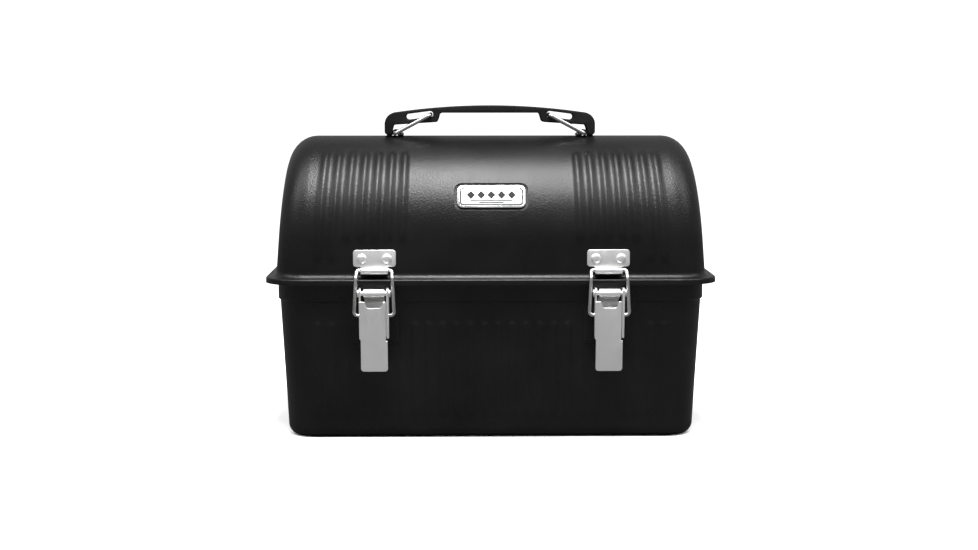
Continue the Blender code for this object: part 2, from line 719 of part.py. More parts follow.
def make_latch_base(name, x):
    """Plate on the tub's pad that bends out under the lip and curls round the lever's pin."""
    back = -TUB_Y - GAP - PLATE / 2
    eye = PIN_RADIUS + GAP + PLATE / 2
    pivot = (LEVER_PIVOT.y, LEVER_PIVOT.z)
    bend = pivot[1] - BASE_NECK
    path = [(back, BASE_BOTTOM), (back, bend), *curl(pivot, eye, radians(-70), radians(300))]
    base = piece(name, strip_mesh(path, BASE_PLATE_WIDTH, name), STEEL, (x, 0, 0))
    thicken(base, PLATE, 0)
    spare = (BASE_PLATE_WIDTH - BASE_WIDTH) / 2
    top = bend - BASE_NECK / 2
    sides = []
    for way in (-1, 1):
        centre = (x + way * (BASE_WIDTH / 2 + spare), LEVER_PIVOT.y, top + PAD_SIZE[1] / 2)
        sides.append(block_mesh((2 * spare, 2 * PAD_SIZE[1], PAD_SIZE[1]), centre, "side"))
    combine(base, tool(f"{name}_sides", join_meshes(sides, "sides")), "DIFFERENCE")
    return base


def base_rivets():
    heights = [BASE_BOTTOM + rise for rise in BASE_RIVET_RISE]
    return [Vector((way * LATCH_X, -TUB_Y, z)) for way in (-1, 1) for z in heights]


def make_lever(name, x):
    """Folded steel lever about its pin: face plate with a notch, two side flanges, a tongue."""
    half, tongue = LEVER_WIDTH / 2, TONGUE_WIDTH / 2
    notch, notch_low = WINDOW[0] / 2, -WINDOW[1]
    nip, shoulder = LEVER_NIP, LEVER_SHOULDER - 1.4 * MM
    face = [
        (-notch, LEVER_TOP), (-half, LEVER_TOP), (-half, LEVER_SHOULDER), (-tongue, shoulder),
        (-tongue, LEVER_BOTTOM + nip), (-tongue + nip / 3, LEVER_BOTTOM + nip / 3),
        (-tongue + nip, LEVER_BOTTOM),
        (tongue - nip, LEVER_BOTTOM), (tongue - nip / 3, LEVER_BOTTOM + nip / 3),
        (tongue, LEVER_BOTTOM + nip),
        (tongue, shoulder), (half, LEVER_SHOULDER), (half, LEVER_TOP), (notch, LEVER_TOP),
        (notch, notch_low), (-notch, notch_low),
    ]
    place = Matrix.Translation((0, LEVER_FACE, 0)) @ FACING_FRONT
    plate = curve_mesh(flat_curve([face], PLATE), "face", place)
    deep, nick = FLANGE_DEPTH, 0.1 * MM
    front, top, low = LEVER_FACE + 2 * nick, LEVER_TOP - nick, LEVER_SHOULDER + nick
    side = [
        (front, top), (front, low), (front + FLANGE_TIP, low), (deep - 1.5 * MM, BAIL_ARM.z - 4 * MM),
        (deep, BAIL_ARM.z), (deep, top - 2 * MM), (deep - 2 * MM, top),
    ]
    lever = piece(name, plate, STEEL, Vector((x, 0, 0)) + LEVER_PIVOT, Matrix.Rotation(LEVER_TILT, 3, "X"))
    flanges = []
    for way in (-1, 1):
        shift = Matrix.Translation((way * (half - nick - PLATE / 2), 0, 0)) @ FACING_SIDE
        flanges.append(curve_mesh(flat_curve([side], PLATE), "flange", shift))
    flange_tool = tool(f"{name}_flanges", join_meshes(flanges, "flanges"))
    drills = [
        drill_mesh((0, 0, 0), (1, 0, 0), PIN_RADIUS + GAP, 2 * LEVER_WIDTH),
        drill_mesh(BAIL_ARM, (1, 0, 0), BAIL_WIRE + GAP, 2 * LEVER_WIDTH),
    ]
    drill_tool = tool(f"{name}_holes", join_meshes(drills, "holes"))
    for helper in (flange_tool, drill_tool):
        helper.location = lever.location
        helper.rotation_euler = lever.rotation_euler
    combine(lever, flange_tool, "UNION")
    combine(lever, drill_tool, "DIFFERENCE")
    return lever


def make_bail(name, x):
    """Bent wire loop: ends turned in through the lever's flanges, bar held in the hook."""
    end = LEVER_WIDTH / 2 - PLATE
    low, bend, bar = (point - BAIL_PIVOT for point in (BAIL_PIVOT, BAIL_BEND, BAIL_BAR))
    half = [
        Vector((end, low.y, low.z)),
        Vector((BAIL_HALF_LOW, low.y, low.z)),
        Vector((BAIL_HALF_TOP, bend.y, bend.z)),
        Vector((BAIL_HALF_TOP, bar.y, bar.z)),
    ]
    other = [Vector((-p.x, p.y, p.z)) for p in reversed(half)]
    points = rounded(half + other, 2 * BAIL_WIRE)
    return piece(name, wire_mesh(points, BAIL_WIRE, name), WIRE, Vector((x, 0, 0)) + BAIL_PIVOT)


def handle_outline():
    """Right half of the handle seen from the front, from the crown round to the grip's underside."""
    def crown(x):
        return HANDLE_TOP - HANDLE_DROP * (x / HANDLE_HALF) ** 2

    corner_x = HANDLE_HALF - HANDLE_CORNER
    corner_z = crown(corner_x) - HANDLE_CORNER
    top = [(corner_x * i / 6, crown(corner_x * i / 6)) for i in range(7)]
    corner = [
        (corner_x + HANDLE_CORNER * sin(a), corner_z + HANDLE_CORNER * cos(a))
        for a in (radians(22), radians(45), radians(68), radians(90))
    ]
    foot = [
        (HANDLE_HALF, HANDLE_FOOT + 1.5 * MM),
        (HANDLE_HALF - 1.5 * MM, HANDLE_FOOT),
        (HANDLE_HALF - 4.5 * MM, HANDLE_FOOT),
        (HANDLE_HALF - 5.7 * MM, HANDLE_FOOT + 1.5 * MM),
        (LINK_FOOT_X, HANDLE_FOOT + STRAP_HEIGHT + 1.4 * MM),
    ]
    under = LINK_FOOT_Z + LINK_RISE - LINK_WIRE - BOSS_WALL
    inner = HANDLE_TOP - GRIP_THICKNESS
    boss = [
        (LINK_HEAD_X - 2.5 * MM, under),
        (LINK_HEAD_X - 5.5 * MM, under + 1.5 * MM),
        (LINK_HEAD_X - 7.2 * MM, inner - 1.5 * MM),
        (LINK_HEAD_X - 8.6 * MM, inner),
    ]
    return top + corner + foot + boss


def slot_outline(way):
    """Sloping slot with round ends. Its inner end holds the link's upper bar at rest."""
    radius = SLOT_HEIGHT / 2
    fall = Vector((1, -SLOT_SLOPE)).normalized()
    up = Vector((-fall.y, fall.x))
    rest = Vector((LINK_HEAD_X, LINK_FOOT_Z + LINK_RISE)) + up * (radius - LINK_WIRE - GAP)
    far = rest + fall * SLOT_LENGTH
    steps = (0, radians(45), radians(90), radians(135), radians(180))
    ends = [far + up * radius * cos(a) + fall * radius * sin(a) for a in steps]
    ends += [rest - up * radius * cos(a) - fall * radius * sin(a) for a in steps]
    return [(way * p.x, p.y) for p in ends]


def make_handle():
    """Moulded grip with a slot through each end, hollow underneath over the straps."""
    right = handle_outline()
    left = [(-x, z) for x, z in reversed(right) if x > 0]
    curve = flat_curve([right + left, slot_outline(1), slot_outline(-1)], HANDLE_WIDTH)
    handle = piece("handle", curve_mesh(curve, "handle", FACING_FRONT), PLASTIC)
    size = (STRAP_LENGTH + 2 * GAP, STRAP_WIDTH + 2 * GAP, 2 * STRAP_HEIGHT)
    pockets = [block_mesh(size, (way * LINK_FOOT_X, 0, HANDLE_FOOT), "pocket") for way in (-1, 1)]
    combine(handle, tool("handle_pockets", join_meshes(pockets, "pockets")), "DIFFERENCE")
    return handle


def make_link(name, way):
    """Closed wire loop between the strap on the lid and the handle's slot."""
    head = Vector((way * (LINK_HEAD_X - LINK_FOOT_X), 0, LINK_RISE))
    side = Vector((0, LINK_HALF_WIDTH, 0))
    corners = [side, side + head, head - side, -side]
    start = (corners[0] + corners[3]) / 2
    points = rounded([start, *corners, start], 1.6 * LINK_WIRE)[1:]
    place = (way * LINK_FOOT_X, 0, LINK_FOOT_Z)
    return piece(name, wire_mesh(points, LINK_WIRE, name, cyclic=True), WIRE, place)


def make_strap(name, way):
    """Arched strap that holds a link's lower bar on the lid."""
    eye = LINK_WIRE + GAP + PLATE / 2
    base = DOME_TOP + GAP + PLATE / 2 - LINK_FOOT_Z
    arch = [(eye * cos(a), eye * sin(a)) for a in (radians(180 - 30 * i) for i in range(7))]
    path = [(-STRAP_LENGTH / 2, base), (-eye - 0.3 * MM, base), *arch, (eye + 0.3 * MM, base),
            (STRAP_LENGTH / 2, base)]
    mesh = strip_mesh(path, STRAP_WIDTH, name)
    mesh.transform(Matrix.Rotation(pi / 2, 4, "Z"))
    strap = piece(name, mesh, COATING, (way * LINK_FOOT_X, 0, LINK_FOOT_Z))
    thicken(strap, PLATE, 0)
    return strap


def strap_rivets():
    return [
        Vector((way * LINK_FOOT_X + side * STRAP_RIVET, 0, DOME_TOP))
        for way in (-1, 1)
        for side in (-1, 1)
    ]


def knuckle_path(wall, plate_end, bend, start, turn):
    """A hinge leaf from the end of its plate to the curl round the pin, as (y, z) points."""
    eye = HINGE_PIN + GAP + PLATE / 2
    out = wall + GAP + PLATE / 2
    return [(out, plate_end), (out, bend), *curl((HINGE_Y, HINGE_Z), eye, start, turn)]


def make_hinge_leaf(name, x, path, keep_middle):
    """A hinge leaf whose knuckles are cut to leave room for the other leaf's."""
    leaf = piece(name, strip_mesh(path, HINGE_WIDTH, name), STEEL, (x, 0, 0))
    thicken(leaf, PLATE, 0)
    reach = 7 * MM
    centre = Vector((x, HINGE_Y + 1 * MM, HINGE_Z))
    if keep_middle:
        spare = HINGE_WIDTH / 2
        size = (spare, 2 * reach, 2 * reach)
        cuts = [
            block_mesh(size, centre + Vector((way * (KNUCKLE_HALF + spare / 2), 0, 0)), "cut")
            for way in (-1, 1)
        ]
    else:
        cuts = [block_mesh((2 * KNUCKLE_HALF + 2 * GAP, 2 * reach, 2 * reach), centre, "cut")]
    combine(leaf, tool(f"{name}_gap", join_meshes(cuts, "gap")), "DIFFERENCE")
    return leaf


def hinge_rivets():
    """Rivet places: the tub's leaves first, then the lid's."""
    rows = ((TUB_Y, TUB_LEAF_RIVET_Z), (WALL_Y, LID_LEAF_RIVET_Z))
    return [
        Vector((way * HINGE_X + side * HINGE_RIVET_X, wall, z))
        for wall, z in rows
        for way in (-1, 1)
        for side in (-1, 1)
    ]


def make_retainer():
    """Sprung wire that swings down from the lid and holds a bottle up in the dome."""
    inner = RETAINER_EYE_X - RETAINER_EYE_WIDTH / 2 - 3 * MM
    half = [
        Vector((inner, 0, 0)),
        Vector((RETAINER_HALF, 0, 0)),
        Vector((RETAINER_HALF, -RETAINER_REACH, RETAINER_RAISE)),
    ]
    other = [Vector((-p.x, p.y, p.z)) for p in reversed(half)]
    points = rounded(half + other, 4 * RETAINER_WIRE)
    mesh = wire_mesh(points, RETAINER_WIRE, "bottle_retainer")
    return piece("bottle_retainer", mesh, WIRE, RETAINER_AXIS)


def make_retainer_bracket(name, x):
    """Folded eye on the lid's rear wall that the retainer's end turns in."""
    back = WALL_Y - SHEET - GAP - PLATE / 2
    eye = RETAINER_WIRE + GAP + PLATE / 2
    centre = (RETAINER_AXIS.y, RETAINER_AXIS.z)
    path = [(back, DOME_CENTRE - EYE_PLATE_TOP), (back, centre[1] + EYE_NECK),
            *curl(centre, eye, radians(20), radians(-290))]
    bracket = piece(name, strip_mesh(path, RETAINER_EYE_WIDTH, name), STEEL, (x, 0, 0))
    thicken(bracket, PLATE, 0)
    return bracket


def retainer_rivets():
    height = DOME_CENTRE - EYE_RIVET_DROP
    return [Vector((way * RETAINER_EYE_X, WALL_Y, height)) for way in (-1, 1)]


def drill(target, places, direction, radius):
    """Holes through one piece, for rivets at the given places."""
    drills = [drill_mesh(place, direction, radius, DRILL_REACH) for place in places]
    combine(target, tool(f"{target.name}_holes", join_meshes(drills, "holes")), "DIFFERENCE")


def side_name(way):
    return "left" if way < 0 else "right"


def build():
    front, rear, up = Vector((0, -1, 0)), Vector((0, 1, 0)), Vector((0, 0, 1))
    hole = RIVET_SHANK + GAP
    small_hole = SMALL_SHANK + GAP
    under_head = PLATE + 2 * GAP

    tub, lid = make_tub(), make_lid()
    on_lid = [lid, make_nameplate()]

    strikes = strike_rivets()
    for way in (-1, 1):
        strike = make_strike(f"strike_plate_{side_name(way)}", way * LATCH_X)
        drill(strike, [p for p in strikes if p.x * way > 0], front, hole)
        on_lid.append(strike)
    for number, place in enumerate(strikes, 1):
        grip = under_head + SHEET + GAP
        on_lid.append(rivet(f"strike_rivet_{number}", place + front * under_head, front, grip))

    bases = base_rivets()
    for way in (-1, 1):
        name, x = side_name(way), way * LATCH_X
        base = make_latch_base(f"latch_base_{name}", x)
        drill(base, [p for p in bases if p.x * way > 0], front, hole)
        half = LEVER_WIDTH / 2 + GAP
        pin(f"lever_pin_{name}", Vector((x, 0, 0)) + LEVER_PIVOT, half, PIN_RADIUS, PIN_HEAD)
        make_lever(f"latch_lever_{name}", x)
        make_bail(f"latch_bail_{name}", x)
    for number, place in enumerate(bases, 1):
        wall = TUB_Y - tub_wall_y(place.z) + SHEET
        grip = under_head + wall + 2 * GAP
        rivet(f"base_rivet_{number}", place + front * under_head, front, grip)

    hinges = hinge_rivets()
    tub_path = knuckle_path(TUB_Y, TUB_LEAF_END, TUB_LEAF_BEND, radians(-110), radians(300))
    lid_path = knuckle_path(WALL_Y, LID_LEAF_END, LID_LEAF_BEND, radians(80), radians(-290))
    for way in (-1, 1):
        name, x = side_name(way), way * HINGE_X
        tub_leaf = make_hinge_leaf(f"hinge_tub_leaf_{name}", x, tub_path, False)
        lid_leaf = make_hinge_leaf(f"hinge_lid_leaf_{name}", x, lid_path, True)
        mine = [p for p in hinges if p.x * way > 0]
        drill(tub_leaf, [p for p in mine if p.z < RIM_HEIGHT], rear, hole)
        drill(lid_leaf, [p for p in mine if p.z > RIM_HEIGHT], rear, hole)
        on_lid.append(lid_leaf)
        half = HINGE_WIDTH / 2 + GAP
        pin(f"hinge_pin_{name}", Vector((x, 0, 0)) + HINGE_AXIS, half, HINGE_PIN, HINGE_PIN_HEAD)
    for number, place in enumerate(hinges, 1):
        grip = under_head + SHEET + GAP
        made = rivet(f"hinge_rivet_{number}", place + rear * under_head, rear, grip)
        if place.z > RIM_HEIGHT:
            on_lid.append(made)

    eyes = retainer_rivets()
    for way in (-1, 1):
        bracket = make_retainer_bracket(f"retainer_bracket_{side_name(way)}", way * RETAINER_EYE_X)
        drill(bracket, [p for p in eyes if p.x * way > 0], rear, small_hole)
        on_lid.append(bracket)
    for number, place in enumerate(eyes, 1):
        grip = GAP + SHEET + GAP + PLATE + GAP
        on_lid.append(rivet(f"retainer_rivet_{number}", place + rear * GAP, rear, grip, *EYE_RIVET))

    straps = strap_rivets()
    for way in (-1, 1):
        strap = make_strap(f"handle_bracket_{side_name(way)}", way)
        drill(strap, [p for p in straps if p.x * way > 0], up, small_hole)
        on_lid.append(strap)
    for number, place in enumerate(straps, 1):
        grip = under_head + SHEET + GAP
        on_lid.append(rivet(f"bracket_rivet_{number}", place + up * under_head, up, grip,
                            *STRAP_RIVET_SIZES))

    drill(tub, bases + [p for p in hinges if p.z < RIM_HEIGHT], rear, hole)
    drill(lid, strikes + [p for p in hinges if p.z > RIM_HEIGHT], rear, hole)
    small = [drill_mesh(p, rear, small_hole, DRILL_REACH) for p in eyes]
    small += [drill_mesh(p, up, small_hole, DRILL_REACH) for p in straps]
    combine(lid, tool("lid_small_holes", join_meshes(small, "holes")), "DIFFERENCE")

    handle = make_handle()
    links = [make_link(f"handle_link_{side_name(way)}", way) for way in (-1, 1)]
    retainer = make_retainer()
    hang_on(axis_empty("lid_hinge_axis", HINGE_AXIS), [*on_lid, handle, *links, retainer])


clear_scene()
MAIN = collection("lunch_box")
TOOLS = collection("cutters")
build()
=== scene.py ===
"""Dome-topped steel lunch box: the finished look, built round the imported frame."""

from math import atan2, cos, hypot, pi, radians, sin, tan

import bmesh
import bpy
from mathutils import Matrix, Vector


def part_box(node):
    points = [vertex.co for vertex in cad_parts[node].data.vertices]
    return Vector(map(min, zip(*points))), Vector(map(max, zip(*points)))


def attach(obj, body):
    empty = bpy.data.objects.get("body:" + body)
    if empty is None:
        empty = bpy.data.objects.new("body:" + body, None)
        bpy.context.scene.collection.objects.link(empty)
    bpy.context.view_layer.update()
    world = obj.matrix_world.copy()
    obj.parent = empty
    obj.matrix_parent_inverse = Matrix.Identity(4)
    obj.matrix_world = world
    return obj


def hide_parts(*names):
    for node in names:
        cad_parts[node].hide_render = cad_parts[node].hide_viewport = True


MM = 0.001

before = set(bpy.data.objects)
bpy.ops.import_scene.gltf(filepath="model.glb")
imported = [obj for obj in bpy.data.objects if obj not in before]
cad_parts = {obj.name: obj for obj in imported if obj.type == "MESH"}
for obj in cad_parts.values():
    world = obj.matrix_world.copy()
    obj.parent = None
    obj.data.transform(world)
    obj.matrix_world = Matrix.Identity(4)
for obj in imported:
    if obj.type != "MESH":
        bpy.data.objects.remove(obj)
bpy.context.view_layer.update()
bpy.ops.object.select_all(action="DESELECT")


# ---------------------------------------------------------------- camera and stage
# A tabletop product shot: long lens a little above the box, a pale sweep under and behind
# it, painted dark where the box reflects it (painted shade in the reflections), one large
# soft light overhead and a much weaker one at each side.

EYE = Vector((-0.024, -1.3, 0.2563))
AIM = Vector((-0.0005, 0, 0.1128))

bpy.ops.object.camera_add(location=EYE)
camera = bpy.context.object
camera.rotation_euler = (AIM - EYE).to_track_quat("-Z", "Y").to_euler()
camera.data.lens = 62.75
camera.data.sensor_width = 36
bpy.context.scene.camera = camera
bpy.context.scene.view_settings.view_transform = "Standard"


def paint(name):
    """A new material with its nodes, its links and its Principled shader."""
    made = bpy.data.materials.new(name)
    made.use_nodes = True
    tree = made.node_tree
    return made, tree.nodes, tree.links, tree.nodes["Principled BSDF"]


paper, nodes, links, shader = paint("pale_sweep")
shader.inputs["Roughness"].default_value = 0.9
shader.inputs["Specular IOR Level"].default_value = 0.0
# The sweep's colour is 0.88 for camera and diffuse rays but 0.075 for glossy rays: painted shade in
# what the box reflects, not a darker floor.
path = nodes.new("ShaderNodeLightPath")
pale = nodes.new("ShaderNodeMix")
pale.data_type = "RGBA"
pale.inputs["A"].default_value = (0.88, 0.88, 0.88, 1)
pale.inputs["B"].default_value = (0.075, 0.075, 0.075, 1)
links.new(path.outputs["Is Glossy Ray"], pale.inputs["Factor"])
links.new(pale.outputs["Result"], shader.inputs["Base Color"])

bpy.ops.mesh.primitive_plane_add(size=1, location=(0, 0, 0))
floor = bpy.context.object
floor.name = "floor_sweep"
floor.scale = (9, 9, 1)
bpy.ops.object.transform_apply(location=False, rotation=False, scale=True)
floor.data.materials.append(paper)

world = bpy.data.worlds.new("soft_room")
bpy.context.scene.world = world
world.use_nodes = True
nodes, links = world.node_tree.nodes, world.node_tree.links
room = nodes["Background"]
path = nodes.new("ShaderNodeLightPath")
seen = nodes.new("ShaderNodeMix")
seen.data_type = "RGBA"
seen.inputs["A"].default_value = (1.2, 1.2, 1.2, 1)
seen.inputs["B"].default_value = (0.36, 0.36, 0.37, 1)
links.new(path.outputs["Is Glossy Ray"], seen.inputs["Factor"])
links.new(seen.outputs["Result"], room.inputs["Color"])


def soft_light(name, place, target, size, power):
    bpy.ops.object.light_add(type="AREA", location=place)
    lamp = bpy.context.object
    lamp.name = name
    lamp.data.shape = "RECTANGLE"
    lamp.data.size, lamp.data.size_y = size
    lamp.data.energy = power
    lamp.rotation_euler = (Vector(target) - Vector(place)).to_track_quat("-Z", "Y").to_euler()


soft_light("overhead", (0, -0.42, 1.2), (0, -0.03, 0.19), (0.34, 0.68), 32)
soft_light("left_panel", (-0.62, -0.25, 0.9), (0, 0, 0.17), (0.4, 0.6), 5)
soft_light("right_panel", (0.62, -0.25, 0.9), (0, 0, 0.17), (0.4, 0.6), 5)


# ---------------------------------------------------------------- coating and lid
# The lid is one deep drawing of 0.8 mm steel: a half-round top with leaning ends, ribs
# pressed out of it and a rim turned down over the tub. A baked powder coat covers it.

DOME_RADIUS = 75 * MM
RIM_HEIGHT = 118.6 * MM
DOME_CENTRE = RIM_HEIGHT + 26 * MM
LID_HALF = (157.5 * MM, 75 * MM)
LID_CORNER = 20 * MM
LID_LEAN = radians(4.5)
RIM_OUT = 7.5 * MM
SHEET = 0.8 * MM
RIB_PITCH = 10.1 * MM
RIB_WIDTH = 9 * MM
RIB_END = 4.5 * MM
RIB_RISE = 1.6 * MM
RIB_LAST = 12
LATCH_RIBS = range(6, 11)
LID_RIB_TOP = radians(58.5)
LID_RIB_DROP = 14.6 * MM
LID_RIB_SPAN = 134 * MM
LIP_DEPTH = 4.2 * MM
WALL_ROW = 2.3 * MM
FILLET = 4 * MM
EDGE = 1.2 * MM

group = bpy.data.node_groups.new("powder_grain", "ShaderNodeTree")
for name, socket, value in (("Grain", "NodeSocketFloat", 900), ("Depth", "NodeSocketFloat", 0.2)):
    group.interface.new_socket(name=name, in_out="INPUT", socket_type=socket).default_value = value
group.interface.new_socket(name="Normal", in_out="OUTPUT", socket_type="NodeSocketVector")
group.interface.new_socket(name="Mottle", in_out="OUTPUT", socket_type="NodeSocketFloat")
into, out = group.nodes.new("NodeGroupInput"), group.nodes.new("NodeGroupOutput")
place = group.nodes.new("ShaderNodeTexCoord")
grain = group.nodes.new("ShaderNodeTexNoise")
grain.inputs["Detail"].default_value = 4
grain.inputs["Roughness"].default_value = 0.65
pebble = group.nodes.new("ShaderNodeTexVoronoi")
pebble.feature = "SMOOTH_F1"
mottle = group.nodes.new("ShaderNodeTexNoise")
mottle.inputs["Scale"].default_value = 26
mottle.inputs["Detail"].default_value = 6
mix = group.nodes.new("ShaderNodeMath")
mix.operation = "MULTIPLY_ADD"
mix.inputs[1].default_value = 0.6
bump = group.nodes.new("ShaderNodeBump")
bump.inputs["Distance"].default_value = 0.00025
for texture in (grain, pebble, mottle):
    group.links.new(place.outputs["Object"], texture.inputs["Vector"])
group.links.new(into.outputs["Grain"], grain.inputs["Scale"])
group.links.new(into.outputs["Grain"], pebble.inputs["Scale"])
group.links.new(pebble.outputs["Distance"], mix.inputs[0])
group.links.new(grain.outputs["Fac"], mix.inputs[2])
group.links.new(mix.outputs["Value"], bump.inputs["Height"])
group.links.new(into.outputs["Depth"], bump.inputs["Strength"])
group.links.new(bump.outputs["Normal"], out.inputs["Normal"])
group.links.new(mottle.outputs["Fac"], out.inputs["Mottle"])


def ramp(nodes, low, high, start=0.3, end=0.7):
    """A colour ramp between two greys or colours."""
    made = nodes.new("ShaderNodeValToRGB")
    for stop, value, at in zip(made.color_ramp.elements, (low, high), (start, end)):
        stop.color = (*value, 1) if isinstance(value, tuple) else (value, value, value, 1)
        stop.position = at
    return made


def grained(nodes, links, shader, grain, depth):
    """Adds the powder grain to a material and gives the group's node."""
    made = nodes.new("ShaderNodeGroup")
    made.node_tree = bpy.data.node_groups["powder_grain"]
    made.inputs["Grain"].default_value = grain
    made.inputs["Depth"].default_value = depth
    links.new(made.outputs["Normal"], shader.inputs["Normal"])
    return made


coating, nodes, links, shader = paint("black_powder_coat")
shader.inputs["Metallic"].default_value = 0.0
shader.inputs["Specular IOR Level"].default_value = 0.27
texture = grained(nodes, links, shader, 950, 0.7)
tint = ramp(nodes, (0.0012, 0.0012, 0.0013), (0.0022, 0.0022, 0.0024))
links.new(texture.outputs["Mottle"], tint.inputs["Fac"])
links.new(tint.outputs["Color"], shader.inputs["Base Color"])
rough = ramp(nodes, 0.32, 0.39)
links.new(texture.outputs["Mottle"], rough.inputs["Fac"])
links.new(rough.outputs["Color"], shader.inputs["Roughness"])


def edit(piece):
    """Opens one piece for editing with nothing selected, and gives its bmesh."""
    bpy.ops.object.select_all(action="DESELECT")
    piece.select_set(True)
    bpy.context.view_layer.objects.active = piece
    bpy.ops.object.mode_set(mode="EDIT")
    bpy.ops.mesh.select_all(action="DESELECT")
    return bmesh.from_edit_mesh(piece.data)


def pick(shape, kind, test):
    """Selects the verts, edges or faces of an open piece whose middle passes a test."""
    bpy.ops.mesh.select_all(action="DESELECT")
    bpy.ops.mesh.select_mode(type=kind)
    items = {"VERT": shape.verts, "EDGE": shape.edges, "FACE": shape.faces}[kind]
    for item in items:
        if test(item):
            item.select_set(True)
    shape.select_flush_mode()


def close_edit():
    bpy.ops.object.mode_set(mode="OBJECT")


def apply_all(piece):
    bpy.ops.object.select_all(action="DESELECT")
    piece.select_set(True)
    bpy.context.view_layer.objects.active = piece
    for step in list(piece.modifiers):
        bpy.ops.object.modifier_apply(modifier=step.name)


def smooth(piece, angle=35):
    bpy.ops.object.select_all(action="DESELECT")
    piece.select_set(True)
    bpy.context.view_layer.objects.active = piece
    bpy.ops.object.shade_smooth_by_angle(angle=radians(angle))


def copies(source, places):
    """A finished piece once at each place, every copy with its own mesh."""
    made = []
    for place in places:
        bpy.ops.object.select_all(action="DESELECT")
        source.select_set(True)
        bpy.context.view_layer.objects.active = source
        bpy.ops.object.duplicate(linked=False)
        bpy.context.object.data.transform(place)
        made.append(bpy.context.object)
    bpy.data.objects.remove(source, do_unlink=True)
    return made


def settle(piece, name, body, slot, finish, *nodes):
    """Names a finished piece, paints it, and hangs it on its body in place of its CAD nodes."""
    piece.name = name
    piece.data.materials.clear()
    piece.data.materials.append(finish)
    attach(piece, body)
    if nodes:
        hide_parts(*nodes)


def push_out(verts, half, corner, out, height):
    """Moves a ring that follows a rounded rectangle outwards, and to a height."""
    for vert in verts:
        core_x = max(corner - half[0], min(half[0] - corner, vert.co.x))
        core_y = max(corner - half[1], min(half[1] - corner, vert.co.y))
        way = Vector((vert.co.x - core_x, vert.co.y - core_y, 0)).normalized()
        vert.co += way * out
        vert.co.z = height


def grow_rings(shape, stations, half, corner):
    """Extrudes the open ring of an edited piece through (out, height) stations."""
    pick(shape, "EDGE", lambda e: e.is_boundary)
    reached = 0
    for out, height in stations:
        bpy.ops.mesh.extrude_edges_move()
        shape.verts.ensure_lookup_table()
        ring = [v for v in shape.verts if v.select]
        push_out(ring, (half[0] + reached, half[1] + reached), corner + reached, out - reached, height)
        reached = out
    return shape


def arc_stations(centre, radius, start, end, steps=6):
    """Stations on an arc, as (out, height)."""
    turns = [start + (end - start) * i / steps for i in range(steps + 1)]
    return [(centre[0] + radius * cos(a), centre[1] + radius * sin(a)) for a in turns]


def give_sheet(piece, crown):
    """Turns an open pressing's faces out, by its highest or lowest face, and gives it its sheet."""
    bpy.ops.mesh.select_all(action="SELECT")
    bpy.ops.mesh.normals_make_consistent(inside=False)
    shape = bmesh.from_edit_mesh(piece.data)
    last = max(shape.faces, key=lambda face: crown * face.calc_center_median().z)
    if last.normal.z * crown < 0:
        bpy.ops.mesh.flip_normals()
    close_edit()
    step = piece.modifiers.new("sheet", "SOLIDIFY")
    step.thickness, step.offset = SHEET, -1
    apply_all(piece)


def bead(across, along, low, high):
    """Height, 0 to 1, of a pressed rib with round ends."""
    past = max(low + RIB_END - along, along - high + RIB_END, 0)
    reach = hypot(across / (RIB_WIDTH / 2), past / RIB_END)
    return 0.5 + 0.5 * cos(pi * min(reach, 1))


def nearest_rib(x):
    """The number of the rib nearest to x, and how far x is from its middle."""
    number = min(RIB_LAST, max(0, int(abs(x) / RIB_PITCH)))
    return number, abs(x) - (number + 0.5) * RIB_PITCH


bpy.ops.mesh.primitive_plane_add(size=1, location=(0, 0, 0))
lid = bpy.context.object
shape = edit(lid)
for vert in shape.verts:
    vert.co.x *= 2 * LID_HALF[0]
    vert.co.y = DOME_RADIUS if vert.co.y > 0 else 0
    vert.co.z = DOME_CENTRE
pick(shape, "VERT", lambda v: v.co.y > 0)
bpy.ops.mesh.bevel(offset=LID_CORNER, segments=9, affect="VERTICES", profile=0.5)
pick(shape, "FACE", lambda f: True)
bpy.ops.mesh.delete(type="ONLY_FACE")
pick(shape, "EDGE", lambda e: max(v.co.y for v in e.verts) < MM)
bpy.ops.mesh.delete(type="EDGE")
for cuts in (4, 54):
    pick(shape, "EDGE", lambda e: min(v.co.y for v in e.verts) > DOME_RADIUS - MM / 100)
    bpy.ops.mesh.subdivide(number_cuts=cuts)
bpy.ops.mesh.select_all(action="SELECT")
bpy.ops.mesh.spin(steps=90, angle=pi, center=(0, 0, DOME_CENTRE), axis=(1, 0, 0))
bpy.ops.mesh.select_all(action="SELECT")
bpy.ops.mesh.remove_doubles(threshold=0.00002)
shape = bmesh.from_edit_mesh(lid.data)
if min(v.co.z for v in shape.verts) < DOME_CENTRE - MM:
    for vert in shape.verts:
        vert.co.z = 2 * DOME_CENTRE - vert.co.z
wall = [(0, DOME_CENTRE - WALL_ROW * i) for i in range(1, 10)]
rim = arc_stations((FILLET, RIM_HEIGHT + FILLET), FILLET, pi, 1.5 * pi)
rim += arc_stations((RIM_OUT - EDGE, RIM_HEIGHT - EDGE), EDGE, pi / 2, 0)
rim += [(RIM_OUT, RIM_HEIGHT - 2.6 * MM), (RIM_OUT, RIM_HEIGHT - LIP_DEPTH)]
grow_rings(shape, wall + rim, LID_HALF, LID_CORNER)
for vert in shape.verts:
    over = vert.co.z - DOME_CENTRE
    along = DOME_RADIUS * atan2(over, abs(vert.co.y)) if over > 0 else over
    number, across = nearest_rib(vert.co.x)
    low = -LID_RIB_DROP if number >= LATCH_RIBS.stop else 0
    ribbed = number >= LATCH_RIBS.start and abs(vert.co.x) < LID_RIB_SPAN
    if ribbed and vert.co.z > RIM_HEIGHT + FILLET:
        way = Vector((0, vert.co.y, max(over, 0))).normalized()
        vert.co += way * RIB_RISE * bead(across, along, low, DOME_RADIUS * LID_RIB_TOP)
    vert.co.x -= (max(vert.co.z - RIM_HEIGHT, 0) * tan(LID_LEAN)) * (vert.co.x / LID_HALF[0])
give_sheet(lid, 1)

